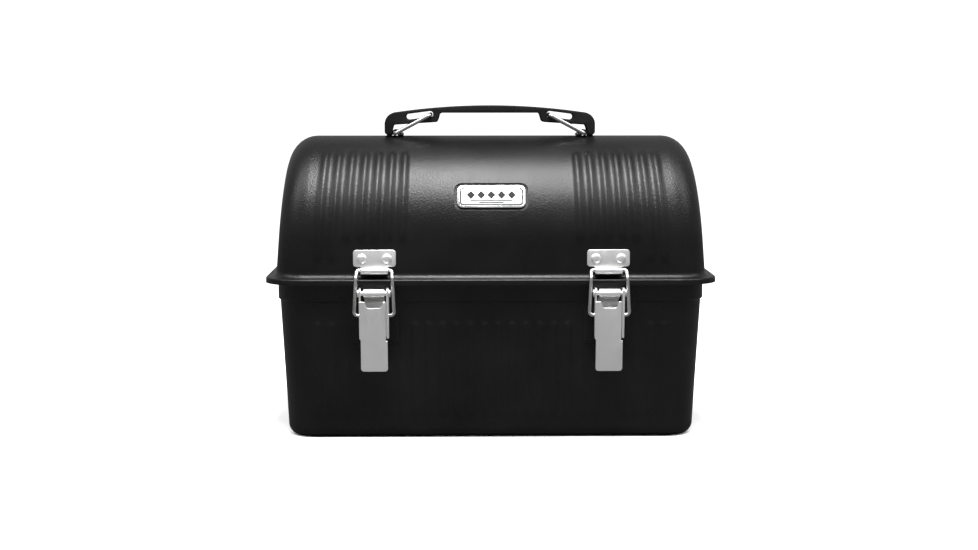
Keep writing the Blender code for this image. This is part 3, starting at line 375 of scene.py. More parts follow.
BADGE_ANGLE = radians(26)
BADGE = (49.4 * MM, 17.5 * MM)
RECESS_DEPTH = 1.7 * MM
RECESS_MARGIN = 2.1 * MM
RECESS_CORNER = 5.5 * MM
POCKET_DEPTH = 12 * MM
PAN_DEPTH = 2.2 * MM
PAN_SINK = 1.1 * MM


def on_dome(radius):
    """Matrix that lays a flat piece on the dome, where the badge is."""
    out = Vector((0, -cos(BADGE_ANGLE), sin(BADGE_ANGLE)))
    turn = Matrix.Rotation(pi / 2 - BADGE_ANGLE, 4, "X")
    return Matrix.Translation(Vector((0, 0, DOME_CENTRE)) + out * radius) @ turn


def tablet(name, length, height, depth, corner, edge=0.0):
    """A flat block with rounded corners and, if asked, eased edges, centred on the origin."""
    bpy.ops.mesh.primitive_cube_add(size=1, location=(0, 0, 0))
    made = bpy.context.object
    made.name = name
    shape = edit(made)
    for vert in shape.verts:
        vert.co = Vector((vert.co.x * length, vert.co.y * height, vert.co.z * depth))
    pick(shape, "EDGE", lambda e: abs(e.verts[0].co.z - e.verts[1].co.z) > depth / 2)
    bpy.ops.mesh.bevel(offset=corner, segments=8, affect="EDGES", profile=0.5)
    if edge:
        shape = bmesh.from_edit_mesh(made.data)
        pick(shape, "EDGE", lambda e: min(v.co.z for v in e.verts) > depth / 2 - MM / 100)
        bpy.ops.mesh.bevel(offset=edge, segments=3, affect="EDGES", profile=0.5)
    close_edit()
    return made


def carve(piece, cutter, operation):
    step = piece.modifiers.new("carve", "BOOLEAN")
    step.operation, step.object, step.solver = operation, cutter, "EXACT"
    apply_all(piece)
    bpy.data.objects.remove(cutter, do_unlink=True)


length, height = BADGE[0] + 2 * RECESS_MARGIN, BADGE[1] + 2 * RECESS_MARGIN
pan = tablet("pan", length + 2 * SHEET, height + 2 * SHEET, PAN_DEPTH, RECESS_CORNER + 0.5 * MM)
pan.data.transform(on_dome(DOME_RADIUS - PAN_SINK - PAN_DEPTH / 2))
carve(lid, pan, "UNION")
pocket = tablet("pocket", length, height, POCKET_DEPTH, RECESS_CORNER)
pocket.data.transform(on_dome(DOME_RADIUS - RECESS_DEPTH + POCKET_DEPTH / 2))
carve(lid, pocket, "DIFFERENCE")
smooth(lid, 40)
settle(lid, "lid_shell", "lid", "coating", coating, "lid")


# ---------------------------------------------------------------- tub
# The lower half is drawn from the same sheet, drafted towards a rounded floor. A waist
# step runs round it under the rim, and drops down in front as a flat pad for each latch.

TUB_HALF = (156.9 * MM, 74.4 * MM)
TUB_CORNER = 22 * MM
TUB_DRAFT = radians(3.2)
FOOT_RADIUS = 8 * MM
GAP = 0.3 * MM
RIM_BEND = 2 * MM
TUB_RIM_OUT = 6.5 * MM
WAIST = RIM_HEIGHT - 17.3 * MM
WAIST_STEP = 1.4 * MM
PAD = (17.5 * MM, WAIST - 30 * MM)
LATCH_X = 84.5 * MM
STEP_BLUR = 0.6 * MM
PAD_BLEND = 7 * MM
TUB_RIB_LOW = 15 * MM
TUB_RIB_HIGH = WAIST - 13 * MM
SHORT_RIB_HIGH = WAIST - 44 * MM
TUB_RIB_SPAN = 135 * MM
TUB_RIB_SHARE = 0.7
COARSE_ROW, FINE_ROW, WAIST_ROW = 2.6 * MM, 1.1 * MM, 0.3 * MM
FINE_FROM = 65 * MM


def ease(value):
    """A smooth rise from 0 to 1."""
    value = max(0.0, min(1.0, value))
    return value * value * (3 - 2 * value)


def waist_field(x, z, front):
    """Distance, in metres, from the edge of the raised band and its pads: positive outside."""
    band = WAIST - z
    if not front:
        return band
    side, under = abs(abs(x) - LATCH_X) - PAD[0], PAD[1] - z
    pad = hypot(max(side, 0), max(under, 0)) + min(max(side, under), 0)
    overlap = max(PAD_BLEND - abs(band - pad), 0) / PAD_BLEND
    return min(band, pad) - overlap * overlap * PAD_BLEND / 4


def tub_field(x, z, front, back):
    """How far the pressing stands out from the plain drafted wall."""
    away = waist_field(x, z, front)
    out = WAIST_STEP * ease(0.5 - away / (2 * STEP_BLUR))
    number, across = nearest_rib(x)
    if (front or back) and abs(x) < TUB_RIB_SPAN:
        high = SHORT_RIB_HIGH if front and number in LATCH_RIBS else TUB_RIB_HIGH
        out += TUB_RIB_SHARE * RIB_RISE * bead(across, z, TUB_RIB_LOW, high)
    return out


draft_run = (WAIST - FOOT_RADIUS) * tan(TUB_DRAFT)
inset = WAIST_STEP + draft_run + FOOT_RADIUS
foot = (TUB_HALF[0] - inset, TUB_HALF[1] - inset)
foot_corner = TUB_CORNER - FOOT_RADIUS

bpy.ops.mesh.primitive_plane_add(size=1, location=(0, 0, 0))
tub = bpy.context.object
shape = edit(tub)
for vert in shape.verts:
    vert.co = Vector((vert.co.x * 2 * foot[0], vert.co.y * 2 * foot[1], 0))
pick(shape, "VERT", lambda v: True)
bpy.ops.mesh.bevel(offset=foot_corner, segments=9, affect="VERTICES", profile=0.5)
for cuts in (4, 52):
    pick(shape, "EDGE", lambda e: abs(e.verts[0].co.y - e.verts[1].co.y) < MM / 100
         and min(abs(v.co.y) for v in e.verts) > foot[1] - MM / 100)
    bpy.ops.mesh.subdivide(number_cuts=cuts)
pick(shape, "EDGE", lambda e: min(abs(v.co.x) for v in e.verts) > foot[0] - MM / 100)
bpy.ops.mesh.subdivide(number_cuts=9)

heights = [FOOT_RADIUS + COARSE_ROW * i for i in range(1, 22)]
heights += [FINE_FROM + FINE_ROW * i for i in range(32)]
heights += [WAIST + WAIST_ROW * i for i in range(-4, 5)]
wall = [(FOOT_RADIUS + (z - FOOT_RADIUS) * tan(TUB_DRAFT), z) for z in heights if z <= WAIST]
top = FOOT_RADIUS + draft_run
wall += [(top, z) for z in heights if z > WAIST] + [(top, WAIST + 5 * MM), (top, WAIST + 9 * MM)]
floor_bend = [(FOOT_RADIUS * sin(a), FOOT_RADIUS * (1 - cos(a)))
              for a in (radians(11.25 * i) for i in range(1, 9))]
rim_under = RIM_HEIGHT - 2 * SHEET - GAP
tub_rim = arc_stations((top + RIM_BEND, rim_under - RIM_BEND), RIM_BEND, pi, pi / 2, 4)
tub_rim.append((top + TUB_RIM_OUT, rim_under))
grow_rings(shape, floor_bend + wall + tub_rim, foot, foot_corner)
for vert in shape.verts:
    if vert.co.z > FOOT_RADIUS + MM / 10:
        core = TUB_HALF[0] - TUB_CORNER, TUB_HALF[1] - TUB_CORNER
        core_x = max(-core[0], min(core[0], vert.co.x))
        core_y = max(-core[1], min(core[1], vert.co.y))
        way = Vector((vert.co.x - core_x, vert.co.y - core_y, 0)).normalized()
        front, back = way.y < -0.98, way.y > 0.98
        vert.co += way * tub_field(vert.co.x, vert.co.z, front, back)
give_sheet(tub, -1)
smooth(tub, 40)
settle(tub, "tub_shell", "tub", "coating", coating, "tub")


# ---------------------------------------------------------------- badge
# A thin plated badge lies in the lid's recess. It has a raised border, a pale satin panel
# and a plain pattern of enamel lozenges and bars. A black sheet under the gap round the
# panel is painted shade in that groove.

badge_steel, nodes, links, shader = paint("badge_steel")
shader.inputs["Metallic"].default_value = 1
texture = grained(nodes, links, shader, 2600, 0.1)
tint = ramp(nodes, (0.6, 0.6, 0.6), (0.7, 0.7, 0.7))
links.new(texture.outputs["Mottle"], tint.inputs["Fac"])
links.new(tint.outputs["Color"], shader.inputs["Base Color"])
rough = ramp(nodes, 0.2, 0.3)
links.new(texture.outputs["Mottle"], rough.inputs["Fac"])
links.new(rough.outputs["Color"], shader.inputs["Roughness"])

badge_panel, nodes, links, shader = paint("badge_panel")
shader.inputs["Metallic"].default_value = 0.35
shader.inputs["Roughness"].default_value = 0.4
texture = grained(nodes, links, shader, 3200, 0.15)
tint = ramp(nodes, (0.42, 0.42, 0.415), (0.48, 0.48, 0.475))
links.new(texture.outputs["Mottle"], tint.inputs["Fac"])
links.new(tint.outputs["Color"], shader.inputs["Base Color"])

# Black enamel for the printed lozenges and bars; the same dark colour also serves as painted shade in
# the groove round the panel.
enamel, nodes, links, shader = paint("black_enamel_and_groove_shade")
shader.inputs["Roughness"].default_value = 0.5
shader.inputs["Specular IOR Level"].default_value = 0.1
texture = grained(nodes, links, shader, 1200, 0.05)
tint = ramp(nodes, (0.01, 0.01, 0.01), (0.02, 0.02, 0.02))
links.new(texture.outputs["Mottle"], tint.inputs["Fac"])
links.new(tint.outputs["Color"], shader.inputs["Base Color"])

BADGE_BACK = DOME_RADIUS - RECESS_DEPTH + GAP
BADGE_THICKNESS = 1.5 * MM
BADGE_CORNER = 4 * MM
BORDER = 1.7 * MM
GROOVE = 1 * MM
PRINT = 0.2 * MM
WELL_MIDDLE, GROOVE_MIDDLE, PANEL_MIDDLE = 0.95 * MM, 1.1 * MM, 1.32 * MM
WELL_CORNER, PANEL_CORNER = 2.6 * MM, 1.9 * MM
well_size = (BADGE[0] - 2 * BORDER, BADGE[1] - 2 * BORDER)
panel_size = (well_size[0] - 2 * GROOVE, well_size[1] - 2 * GROOVE)
badge = tablet("nameplate_frame", *BADGE, BADGE_THICKNESS, BADGE_CORNER, 0.35 * MM)
well = tablet("well", *well_size, MM, WELL_CORNER)
well.data.transform(Matrix.Translation((0, 0, WELL_MIDDLE)))
carve(badge, well, "DIFFERENCE")
badge.data.transform(on_dome(BADGE_BACK + BADGE_THICKNESS / 2))
smooth(badge)
settle(badge, "nameplate_frame", "lid", "badge_metal", badge_steel, "nameplate")

# Painted shade: a black sheet under the gap between the border and the panel, so that the groove reads
# dark.
groove = tablet("nameplate_groove", *well_size, 0.3 * MM, WELL_CORNER)
groove.data.transform(on_dome(BADGE_BACK + GROOVE_MIDDLE))
settle(groove, "nameplate_groove", "lid", "badge_metal", enamel)

panel = tablet("nameplate_panel", *panel_size, 0.25 * MM, PANEL_CORNER, 0.1 * MM)
panel.data.transform(on_dome(BADGE_BACK + PANEL_MIDDLE))
smooth(panel)
settle(panel, "nameplate_panel", "lid", "badge_metal", badge_panel)


def lozenge(name, x, y, width, height):
    """A small enamel lozenge printed on the badge's panel."""
    bpy.ops.mesh.primitive_cylinder_add(vertices=4, radius=0.5, depth=PRINT, location=(0, 0, 0))
    made = bpy.context.object
    shape = edit(made)
    for vert in shape.verts:
        vert.co.x, vert.co.y = vert.co.x * width + x, vert.co.y * height + y
    bpy.ops.mesh.select_all(action="SELECT")
    bpy.ops.mesh.bevel(offset=0.06 * MM, segments=2, affect="EDGES")
    close_edit()
    made.data.transform(on_dome(BADGE_BACK + BADGE_THICKNESS))
    settle(made, name, "lid", "badge_metal", enamel)


LOZENGE = (6 * MM, 6.4 * MM)
LOZENGE_PITCH, LOZENGE_HEIGHT = 7.4 * MM, 1.2 * MM
BARS = ((30 * MM, -3.4 * MM), (18 * MM, -4.9 * MM))
for number in range(5):
    place = ((number - 2) * LOZENGE_PITCH, LOZENGE_HEIGHT)
    lozenge(f"nameplate_lozenge_{number + 1}", *place, *LOZENGE)
for number, (length, low) in enumerate(BARS):
    bar = tablet("bar", length, 0.7 * MM, PRINT, 0.3 * MM)
    bar.data.transform(Matrix.Translation((0, low, 0)))
    bar.data.transform(on_dome(BADGE_BACK + BADGE_THICKNESS))
    settle(bar, f"nameplate_bar_{number + 1}", "lid", "badge_metal", enamel)


# ---------------------------------------------------------------- plated steel and strike plates
# The strike plates are blanked and folded from 1.2 mm plated steel. Two rivets hold each
# to the lid, and its narrow end is hooked up to catch the latch's wire.

steel, nodes, links, shader = paint("plated_steel")
shader.inputs["Metallic"].default_value = 0.95
texture = grained(nodes, links, shader, 2400, 0.12)
coordinates = nodes.new("ShaderNodeTexCoord")
stretch = nodes.new("ShaderNodeMapping")
stretch.inputs["Scale"].default_value = (900, 900, 60)
streak = nodes.new("ShaderNodeTexNoise")
streak.inputs["Scale"].default_value = 1.0
streak.inputs["Detail"].default_value = 3
links.new(coordinates.outputs["Object"], stretch.inputs["Vector"])
links.new(stretch.outputs["Vector"], streak.inputs["Vector"])
tint = ramp(nodes, (0.80, 0.80, 0.795), (0.90, 0.90, 0.895))
links.new(texture.outputs["Mottle"], tint.inputs["Fac"])
links.new(tint.outputs["Color"], shader.inputs["Base Color"])
rough = ramp(nodes, 0.34, 0.48)
links.new(streak.outputs["Fac"], rough.inputs["Fac"])
links.new(rough.outputs["Color"], shader.inputs["Roughness"])

PLATE = 1.2 * MM


def folded(name, path, width):
    """A strip that follows a (y, z) path, folded with small bends, its sheet centred on it."""
    bpy.ops.mesh.primitive_plane_add(size=1, location=(0, 0, 0))
    made = bpy.context.object
    made.name = name
    shape = edit(made)
    for vert in shape.verts:
        y, z = path[0] if vert.co.y < 0 else path[1]
        vert.co = Vector((width / 2 if vert.co.x > 0 else -width / 2, y, z))
    last = path[1]
    for y, z in path[2:]:
        here = last
        pick(shape, "EDGE", lambda e: all(
            abs(v.co.y - here[0]) < MM / 1000 and abs(v.co.z - here[1]) < MM / 1000 for v in e.verts))
        bpy.ops.mesh.extrude_edges_move(
            TRANSFORM_OT_translate={"value": (0, y - here[0], z - here[1])}
        )
        last = (y, z)
    bpy.ops.mesh.select_all(action="SELECT")
    bpy.ops.mesh.normals_make_consistent(inside=False)
    close_edit()
    step = made.modifiers.new("sheet", "SOLIDIFY")
    step.thickness, step.offset, step.use_even_offset = PLATE, 0, True
    apply_all(made)
    return made


def ease_edges(piece, width=0.2 * MM):
    """Breaks the sharp edges of a finished blank."""
    step = piece.modifiers.new("edges", "BEVEL")
    step.width, step.segments, step.limit_method = width, 3, "ANGLE"
    step.angle_limit = radians(40)
    step.use_clamp_overlap = True
    apply_all(piece)
    smooth(piece)


def curl(centre, radius, start, turn, steps=22):
    """Points (y, z) on an arc about a centre."""
    angles = [start + turn * i / steps for i in range(steps + 1)]
    return [(centre[0] + radius * cos(a), centre[1] + radius * sin(a)) for a in angles]


SIDES = (("left", -1), ("right", 1))
STRIKE = (30.8 * MM, RIM_HEIGHT + 20.9 * MM, RIM_HEIGHT + 8.6 * MM)
STRIKE_CORNER = 2.2 * MM
HOOK = 19.5 * MM
HOOK_DEPTH = 6.4 * MM
HOOK_BEND = 1.5 * MM
HOOK_LIP = RIM_HEIGHT + 7.2 * MM
LATCH_PLACES = [Matrix.Translation((way * LATCH_X, 0, 0)) for _, way in SIDES]
back = -DOME_RADIUS - GAP - PLATE / 2
front = back - HOOK_DEPTH
bend = RIM_HEIGHT + 5.6 * MM
path = [(back, STRIKE[1]), (back, bend)]
path += curl((back - HOOK_BEND, bend), HOOK_BEND, 0, -pi / 2, 5)[1:]
path += curl((front + HOOK_BEND, bend), HOOK_BEND, -pi / 2, -pi / 2, 5)
path += [(front, HOOK_LIP)]
plate = folded("strike", path, STRIKE[0])
spare = (STRIKE[0] - HOOK) / 2
for end in (-1, 1):
    notch = tablet("notch", 4 * spare, 30 * MM, 20 * MM, 1.2 * MM)
    notch.data.transform(Matrix.Rotation(pi / 2, 4, "X"))
    shift = Vector((end * (HOOK / 2 + 2 * spare), -78 * MM, STRIKE[2] - 15 * MM))
    notch.data.transform(Matrix.Translation(shift))
    carve(plate, notch, "DIFFERENCE")
shape = edit(plate)
pick(shape, "EDGE", lambda e: abs(e.verts[0].co.y - e.verts[1].co.y) > PLATE / 2
     and min(abs(v.co.x) for v in e.verts) > STRIKE[0] / 2 - MM / 10)
bpy.ops.mesh.bevel(offset=STRIKE_CORNER, segments=5, affect="EDGES", profile=0.5)
close_edit()
ease_edges(plate, 0.22 * MM)
for (side, _), plate in zip(SIDES, copies(plate, LATCH_PLACES)):
    settle(plate, f"strike_{side}", "lid", "plated_steel", steel, f"strike_plate_{side}")


# ---------------------------------------------------------------- rivets
# Every plate is held by solid steel rivets: a shallow domed head with a slight shoulder
# outside, and a tail set flat on the inner face of the sheet.

def rivet(grip, shank, head, dome):
    """A rivet turned about Z, its head standing on the origin."""
    bpy.ops.mesh.primitive_circle_add(vertices=32, radius=head, location=(0, 0, 0))
    made = bpy.context.object
    edit(made)
    bpy.ops.mesh.select_all(action="SELECT")
    steps = [(1.0, 0.14), (0.97, 0.3), (0.91, 0.48), (0.82, 0.66), (0.69, 0.81), (0.53, 0.92),
             (0.36, 0.98), (0.16, 1.0)]
    here = (1.0, 0.0)
    for scale, height in steps:
        bpy.ops.mesh.extrude_edges_move(
            TRANSFORM_OT_translate={"value": (0, 0, (height - here[1]) * dome)}
        )
        factor = scale / here[0]
        bpy.ops.transform.resize(value=(factor, factor, 1), center_override=(0, 0, 0))
        here = (scale, height)
    bpy.ops.mesh.edge_face_add()
    shape = bmesh.from_edit_mesh(made.data)
    pick(shape, "VERT", lambda v: v.co.z < MM / 1000)
    for radius, height in ((shank, 0), (shank, -grip), (head * 0.8, -grip),
                           (head * 0.72, -grip - dome * 0.5), (head * 0.3, -grip - dome * 0.6)):
        bpy.ops.mesh.extrude_edges_move()
        shape = bmesh.from_edit_mesh(made.data)
        for vert in (v for v in shape.verts if v.select):
            flat = Vector((vert.co.x, vert.co.y, 0)).normalized() * radius
            vert.co = Vector((flat.x, flat.y, height))
    bpy.ops.mesh.edge_face_add()
    bpy.ops.mesh.select_all(action="SELECT")
    bpy.ops.mesh.normals_make_consistent(inside=False)
    close_edit()
    smooth(made, 50)
    return made


def seat(node, direction, dome):
    """Where a rivet's head starts, and its grip, from the CAD rivet's box."""
    low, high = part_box(node)
    middle = (Vector(low) + Vector(high)) / 2
    axis = max(range(3), key=lambda i: abs(direction[i]))
    outer = high[axis] if direction[axis] > 0 else low[axis]
    middle[axis] = outer - direction[axis] * dome
    tail = 0.6 * dome
    return middle, (high[axis] - low[axis]) - dome - tail


FRONT, REAR, UP = (0, -1, 0), (0, 1, 0), (0, 0, 1)
RIVET = (1.8 * MM, 3.6 * MM, 1.6 * MM)
SMALL_RIVET = (1.1 * MM, 1.9 * MM, 1 * MM)
STRAP_RIVET = (1.1 * MM, 1.6 * MM, 0.9 * MM)
for count, prefix, direction, size, body in (
    (range(1, 5), "strike_rivet", FRONT, RIVET, "lid"),
    (range(1, 5), "base_rivet", FRONT, RIVET, "tub"),
    (range(1, 5), "hinge_rivet", REAR, RIVET, "tub"),
    (range(5, 9), "hinge_rivet", REAR, RIVET, "lid"),
    (range(1, 3), "retainer_rivet", REAR, SMALL_RIVET, "lid"),
    (range(1, 5), "bracket_rivet", UP, STRAP_RIVET, "lid"),
):
    turn = Vector(UP).rotation_difference(Vector(direction)).to_matrix().to_4x4()
    seats = {}
    for number in count:
        place, grip = seat(f"{prefix}_{number}", direction, size[2])
        seats.setdefault(round(grip, 6), []).append((number, Matrix.Translation(place) @ turn))
    for grip, group_seats in seats.items():
        made = copies(rivet(grip, *size), [place for _, place in group_seats])
        for (number, _), head in zip(group_seats, made):
            node = f"{prefix}_{number}"
            settle(head, f"{node}_head", body, "plated_steel", steel, node)


# ---------------------------------------------------------------- latches
# Each draw latch is a folded lever on a pinned base plate. A bent spring-steel wire runs
# from the lever's flanges up to the strike's hook and pulls the lid down.

PIVOT = Vector((0, -88.5 * MM, RIM_HEIGHT - 9.2 * MM))
TILT = Matrix.Rotation(radians(7), 4, "X")
PIN = 1.6 * MM

wire_steel, nodes, links, shader = paint("bright_wire")
shader.inputs["Metallic"].default_value = 1
texture = grained(nodes, links, shader, 2000, 0.06)
tint = ramp(nodes, (0.66, 0.655, 0.64), (0.78, 0.775, 0.765))
links.new(texture.outputs["Mottle"], tint.inputs["Fac"])
links.new(tint.outputs["Color"], shader.inputs["Base Color"])
rough = ramp(nodes, 0.16, 0.26)
links.new(texture.outputs["Mottle"], rough.inputs["Fac"])
links.new(rough.outputs["Color"], shader.inputs["Roughness"])


def rounded(points, radius, steps=8):
    """A run of points with its inner corners rounded."""
    points = [Vector(p) for p in points]
    out = [points[0]]
    for before, corner, after in zip(points, points[1:], points[2:]):
        back, on = (before - corner).normalized(), (after - corner).normalized()
        half = back.angle(on) / 2
        reach = radius / tan(half)
        centre = corner + (back + on).normalized() * (radius / sin(half))
        start = (corner + back * reach - centre).normalized()
        end = (corner + on * reach - centre).normalized()
        out += [centre + start.slerp(end, i / steps) * radius for i in range(steps + 1)]
    return out + [points[-1]]


def mesh_of(curve_piece):
    """Turns a curve piece into a mesh with its caps welded."""
    bpy.ops.object.select_all(action="DESELECT")
    curve_piece.select_set(True)
    bpy.context.view_layer.objects.active = curve_piece
    bpy.ops.object.convert(target="MESH")
    made = bpy.context.object
    edit(made)
    bpy.ops.mesh.select_all(action="SELECT")
    bpy.ops.mesh.remove_doubles(threshold=0.000005)
    bpy.ops.mesh.normals_make_consistent(inside=False)
    close_edit()
    return made


def wire(name, points, radius, cyclic=False):
    """A drawn round wire bent along its points."""
    curve = bpy.data.curves.new(name, "CURVE")
    curve.dimensions = "3D"
    curve.bevel_depth, curve.bevel_resolution = radius, 6
    curve.use_fill_caps = not cyclic
    spline = curve.splines.new("POLY")
    spline.points.add(len(points) - 1)
    for point, place in zip(spline.points, points):
        point.co = (*place, 1)
    spline.use_cyclic_u = cyclic
    made = bpy.data.objects.new(name, curve)
    bpy.context.collection.objects.link(made)
    made = mesh_of(made)
    smooth(made, 40)
    return made


def blank(name, outlines, thickness, edge):
    """A plate cut to a flat outline, with holes, its edges rounded over. It stands facing -Y."""
    curve = bpy.data.curves.new(name, "CURVE")
    curve.dimensions, curve.fill_mode = "2D", "BOTH"
    curve.extrude = thickness / 2 - edge
    curve.bevel_depth, curve.bevel_resolution, curve.offset = edge, 3, -edge
    for outline in outlines:
        spline = curve.splines.new("POLY")
        spline.points.add(len(outline) - 1)
        for point, (u, v) in zip(spline.points, outline):
            point.co = (u, v, 0, 1)
        spline.use_cyclic_u = True
    made = bpy.data.objects.new(name, curve)
    bpy.context.collection.objects.link(made)
    made = mesh_of(made)
    made.data.transform(Matrix.Rotation(pi / 2, 4, "X"))
    return made


def soften(outline, radii, steps=5):
    """A closed (u, v) outline with its corners rounded, each to its own radius."""
    count, run = len(outline), []
    for i, radius in enumerate(radii):
        three = [(*outline[k % count], 0) for k in (i - 1, i, i + 1)]
        run += rounded(three, radius, steps)[1:-1]
    return [(p.x, p.y) for p in run]


def merge(first, *others):
    bpy.ops.object.select_all(action="DESELECT")
    for item in (first, *others):
        item.select_set(True)
    bpy.context.view_layer.objects.active = first
    bpy.ops.object.join()
    return first


LEVER = (21.3 * MM, 19.3 * MM)
LEVER_TOP, LEVER_SHOULDER, LEVER_END = 3.6 * MM, -32.5 * MM, -57 * MM
FACE_Y = -3.6 * MM
BAIL_ARM = Vector((0, 0.8, -16.4)) * MM
BAIL_PIVOT = PIVOT + (TILT.to_3x3() @ BAIL_ARM)
BAIL_WIRE = 1.4 * MM
BAIL_HALF = (13 * MM, 14.5 * MM)
BAIL_CORNER = 2.6 * MM
BASE = (18 * MM, PIVOT.z - 33.1 * MM)
BASE_EYE = 14.8 * MM
NOTCH = 12 * MM
PIN_HEAD, HINGE_PIN_HEAD, HEAD_THICKNESS = 2.7 * MM, 2.3 * MM, 0.9 * MM
ROUND = 0.25 * MM
half, tongue = LEVER[0] / 2, LEVER[1] / 2

eye = PIN + GAP + PLATE / 2
back = -TUB_HALF[1] - GAP - PLATE / 2
bend = PIVOT.z - 6 * MM
path = [(back, BASE[1]), (back, bend - 1 * MM), (back - 0.5 * MM, bend + 0.2 * MM)]
path += curl((PIVOT.y, PIVOT.z), eye, radians(-70), radians(300))
base = folded("base", path, BASE[0])
for end in (-1, 1):
    notch = tablet("notch", NOTCH, 40 * MM, 40 * MM, 1 * MM)
    notch.data.transform(Matrix.Rotation(pi / 2, 4, "X"))
    shift = (end * (BASE_EYE + NOTCH) / 2, PIVOT.y, bend + 17 * MM)
    notch.data.transform(Matrix.Translation(shift))
    carve(base, notch, "DIFFERENCE")
ease_edges(base)
for (side, _), base in zip(SIDES, copies(base, LATCH_PLACES)):
    settle(base, f"base_plate_{side}", "tub", "plated_steel", steel, f"latch_base_{side}")


def headed_pin(span, radius, head):
    """A pin along X about the origin, with a flat head on each end."""
    bpy.ops.mesh.primitive_cylinder_add(vertices=32, radius=radius, depth=2 * span, location=(0, 0, 0))
    made = bpy.context.object
    for end in (-1, 1):
        bpy.ops.mesh.primitive_cylinder_add(
            vertices=32, radius=head, depth=HEAD_THICKNESS,
            location=(0, 0, end * (span + HEAD_THICKNESS / 2)))
        made = merge(made, bpy.context.object)
    ease_edges(made, ROUND)
    made.data.transform(Matrix.Rotation(pi / 2, 4, "Y"))
    return made


pin = headed_pin(half + GAP, PIN, PIN_HEAD)
pin.data.transform(Matrix.Translation(PIVOT))
for (side, _), pin in zip(SIDES, copies(pin, LATCH_PLACES)):
    settle(pin, f"pin_{side}", "tub", "plated_steel", steel, f"lever_pin_{side}")

shoulder = LEVER_SHOULDER - 1.4 * MM
brow, strip = -5.3 * MM, half - 2.2 * MM
corners = (
    (-half, brow, 0.6), (-half, LEVER_SHOULDER, 0.6), (-tongue, shoulder, 0.4),
    (-tongue, LEVER_END, 2.2), (tongue, LEVER_END, 2.2), (tongue, shoulder - 0.4 * MM, 0.4),
    (strip, shoulder - 0.4 * MM, 0.3), (strip, brow, 0.4), (6.3 * MM, brow, 0.8),
    (5 * MM, -9.9 * MM, 1.6), (-5 * MM, -9.9 * MM, 1.6), (-6.3 * MM, brow, 0.8),
)
outline = soften([(x, z) for x, z, _ in corners], [r * MM for _, _, r in corners])
lever = blank("face", [outline], PLATE, ROUND)
lever.data.transform(Matrix.Translation((0, FACE_Y, 0)))
deep = 4.6 * MM
profile = [
    (FACE_Y, LEVER_TOP), (FACE_Y, LEVER_SHOULDER), (FACE_Y + 2.4 * MM, LEVER_SHOULDER),
    (deep - 1.5 * MM, BAIL_ARM.z - 4 * MM), (deep, BAIL_ARM.z), (deep, LEVER_TOP - 2 * MM),
    (deep - 2 * MM, LEVER_TOP),
]
profile = soften(profile, [1.6 * MM, *[0.5 * MM] * 5, 1.6 * MM])
for end, wide in ((-1, PLATE), (1, 1.7 * MM)):
    flange = blank("flange", [profile], wide, ROUND)
    flange.data.transform(Matrix.Rotation(pi / 2, 4, "Z"))
    flange.data.transform(Matrix.Translation((end * (half - wide / 2), 0, 0)))
    lever = merge(lever, flange)
smooth(lever)
lever.data.transform(Matrix.Translation(PIVOT) @ TILT)
for (side, _), lever in zip(SIDES, copies(lever, LATCH_PLACES)):
    settle(lever, f"lever_{side}", f"latch_lever_{side}", "plated_steel", steel, f"latch_lever_{side}")

end = half - PLATE
bar = Vector((BAIL_HALF[0], -79.3 * MM, RIM_HEIGHT + 6.4 * MM))
crook = Vector((BAIL_HALF[0], -84.9 * MM, RIM_HEIGHT + 1.5 * MM))
run = [
    Vector((end, BAIL_PIVOT.y, BAIL_PIVOT.z)), Vector((BAIL_HALF[1], BAIL_PIVOT.y, BAIL_PIVOT.z)),
    crook, bar,
]
run += [Vector((-p.x, p.y, p.z)) for p in reversed(run)]
bail = wire("bail", rounded(run, BAIL_CORNER), BAIL_WIRE)
for (side, _), bail in zip(SIDES, copies(bail, LATCH_PLACES)):
    settle(bail, f"bail_{side}", f"latch_bail_{side}", "wire", wire_steel, f"latch_bail_{side}")


# ---------------------------------------------------------------- handle
# The grip is one moulding of black nylon, arched along its crown and slotted at each end.
# Wire links join it to the lid, so that it drops flat on the dome when it is let go.

plastic, nodes, links, shader = paint("black_nylon")
shader.inputs["Specular IOR Level"].default_value = 0.05
texture = grained(nodes, links, shader, 1100, 0.3)
tint = ramp(nodes, (0.004, 0.004, 0.0042), (0.007, 0.007, 0.0075))
links.new(texture.outputs["Mottle"], tint.inputs["Fac"])
links.new(tint.outputs["Color"], shader.inputs["Base Color"])
rough = ramp(nodes, 0.5, 0.6)
links.new(texture.outputs["Mottle"], rough.inputs["Fac"])
links.new(rough.outputs["Color"], shader.inputs["Roughness"])

DOME_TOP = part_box("lid")[1][2]
HANDLE_FOOT = DOME_TOP + GAP
HANDLE_HALF, HANDLE_TOP = 79.4 * MM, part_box("handle")[1][2]
HANDLE_DROP, HANDLE_CORNER = 6.4 * MM, 9 * MM
HANDLE_WIDTH = 22 * MM
GRIP = 5.5 * MM
BOSS_WALL = 4 * MM
SLOT_RADIUS, SLOT_LENGTH, SLOT_SLOPE = 2.25 * MM, 16.2 * MM, 0.13
STRAP = (12.6 * MM, 19 * MM)
LINK_WIRE = 1.5 * MM
LINK_REACH, LINK_CORNER = 13.4 * MM, 2.6 * MM
LINK_X = (71.6 * MM, 44.9 * MM)
LINK_FOOT_Z = HANDLE_FOOT + LINK_WIRE
LINK_RISE = 14.2 * MM


def crown(x):
    return HANDLE_TOP - HANDLE_DROP * (x / HANDLE_HALF) ** 2


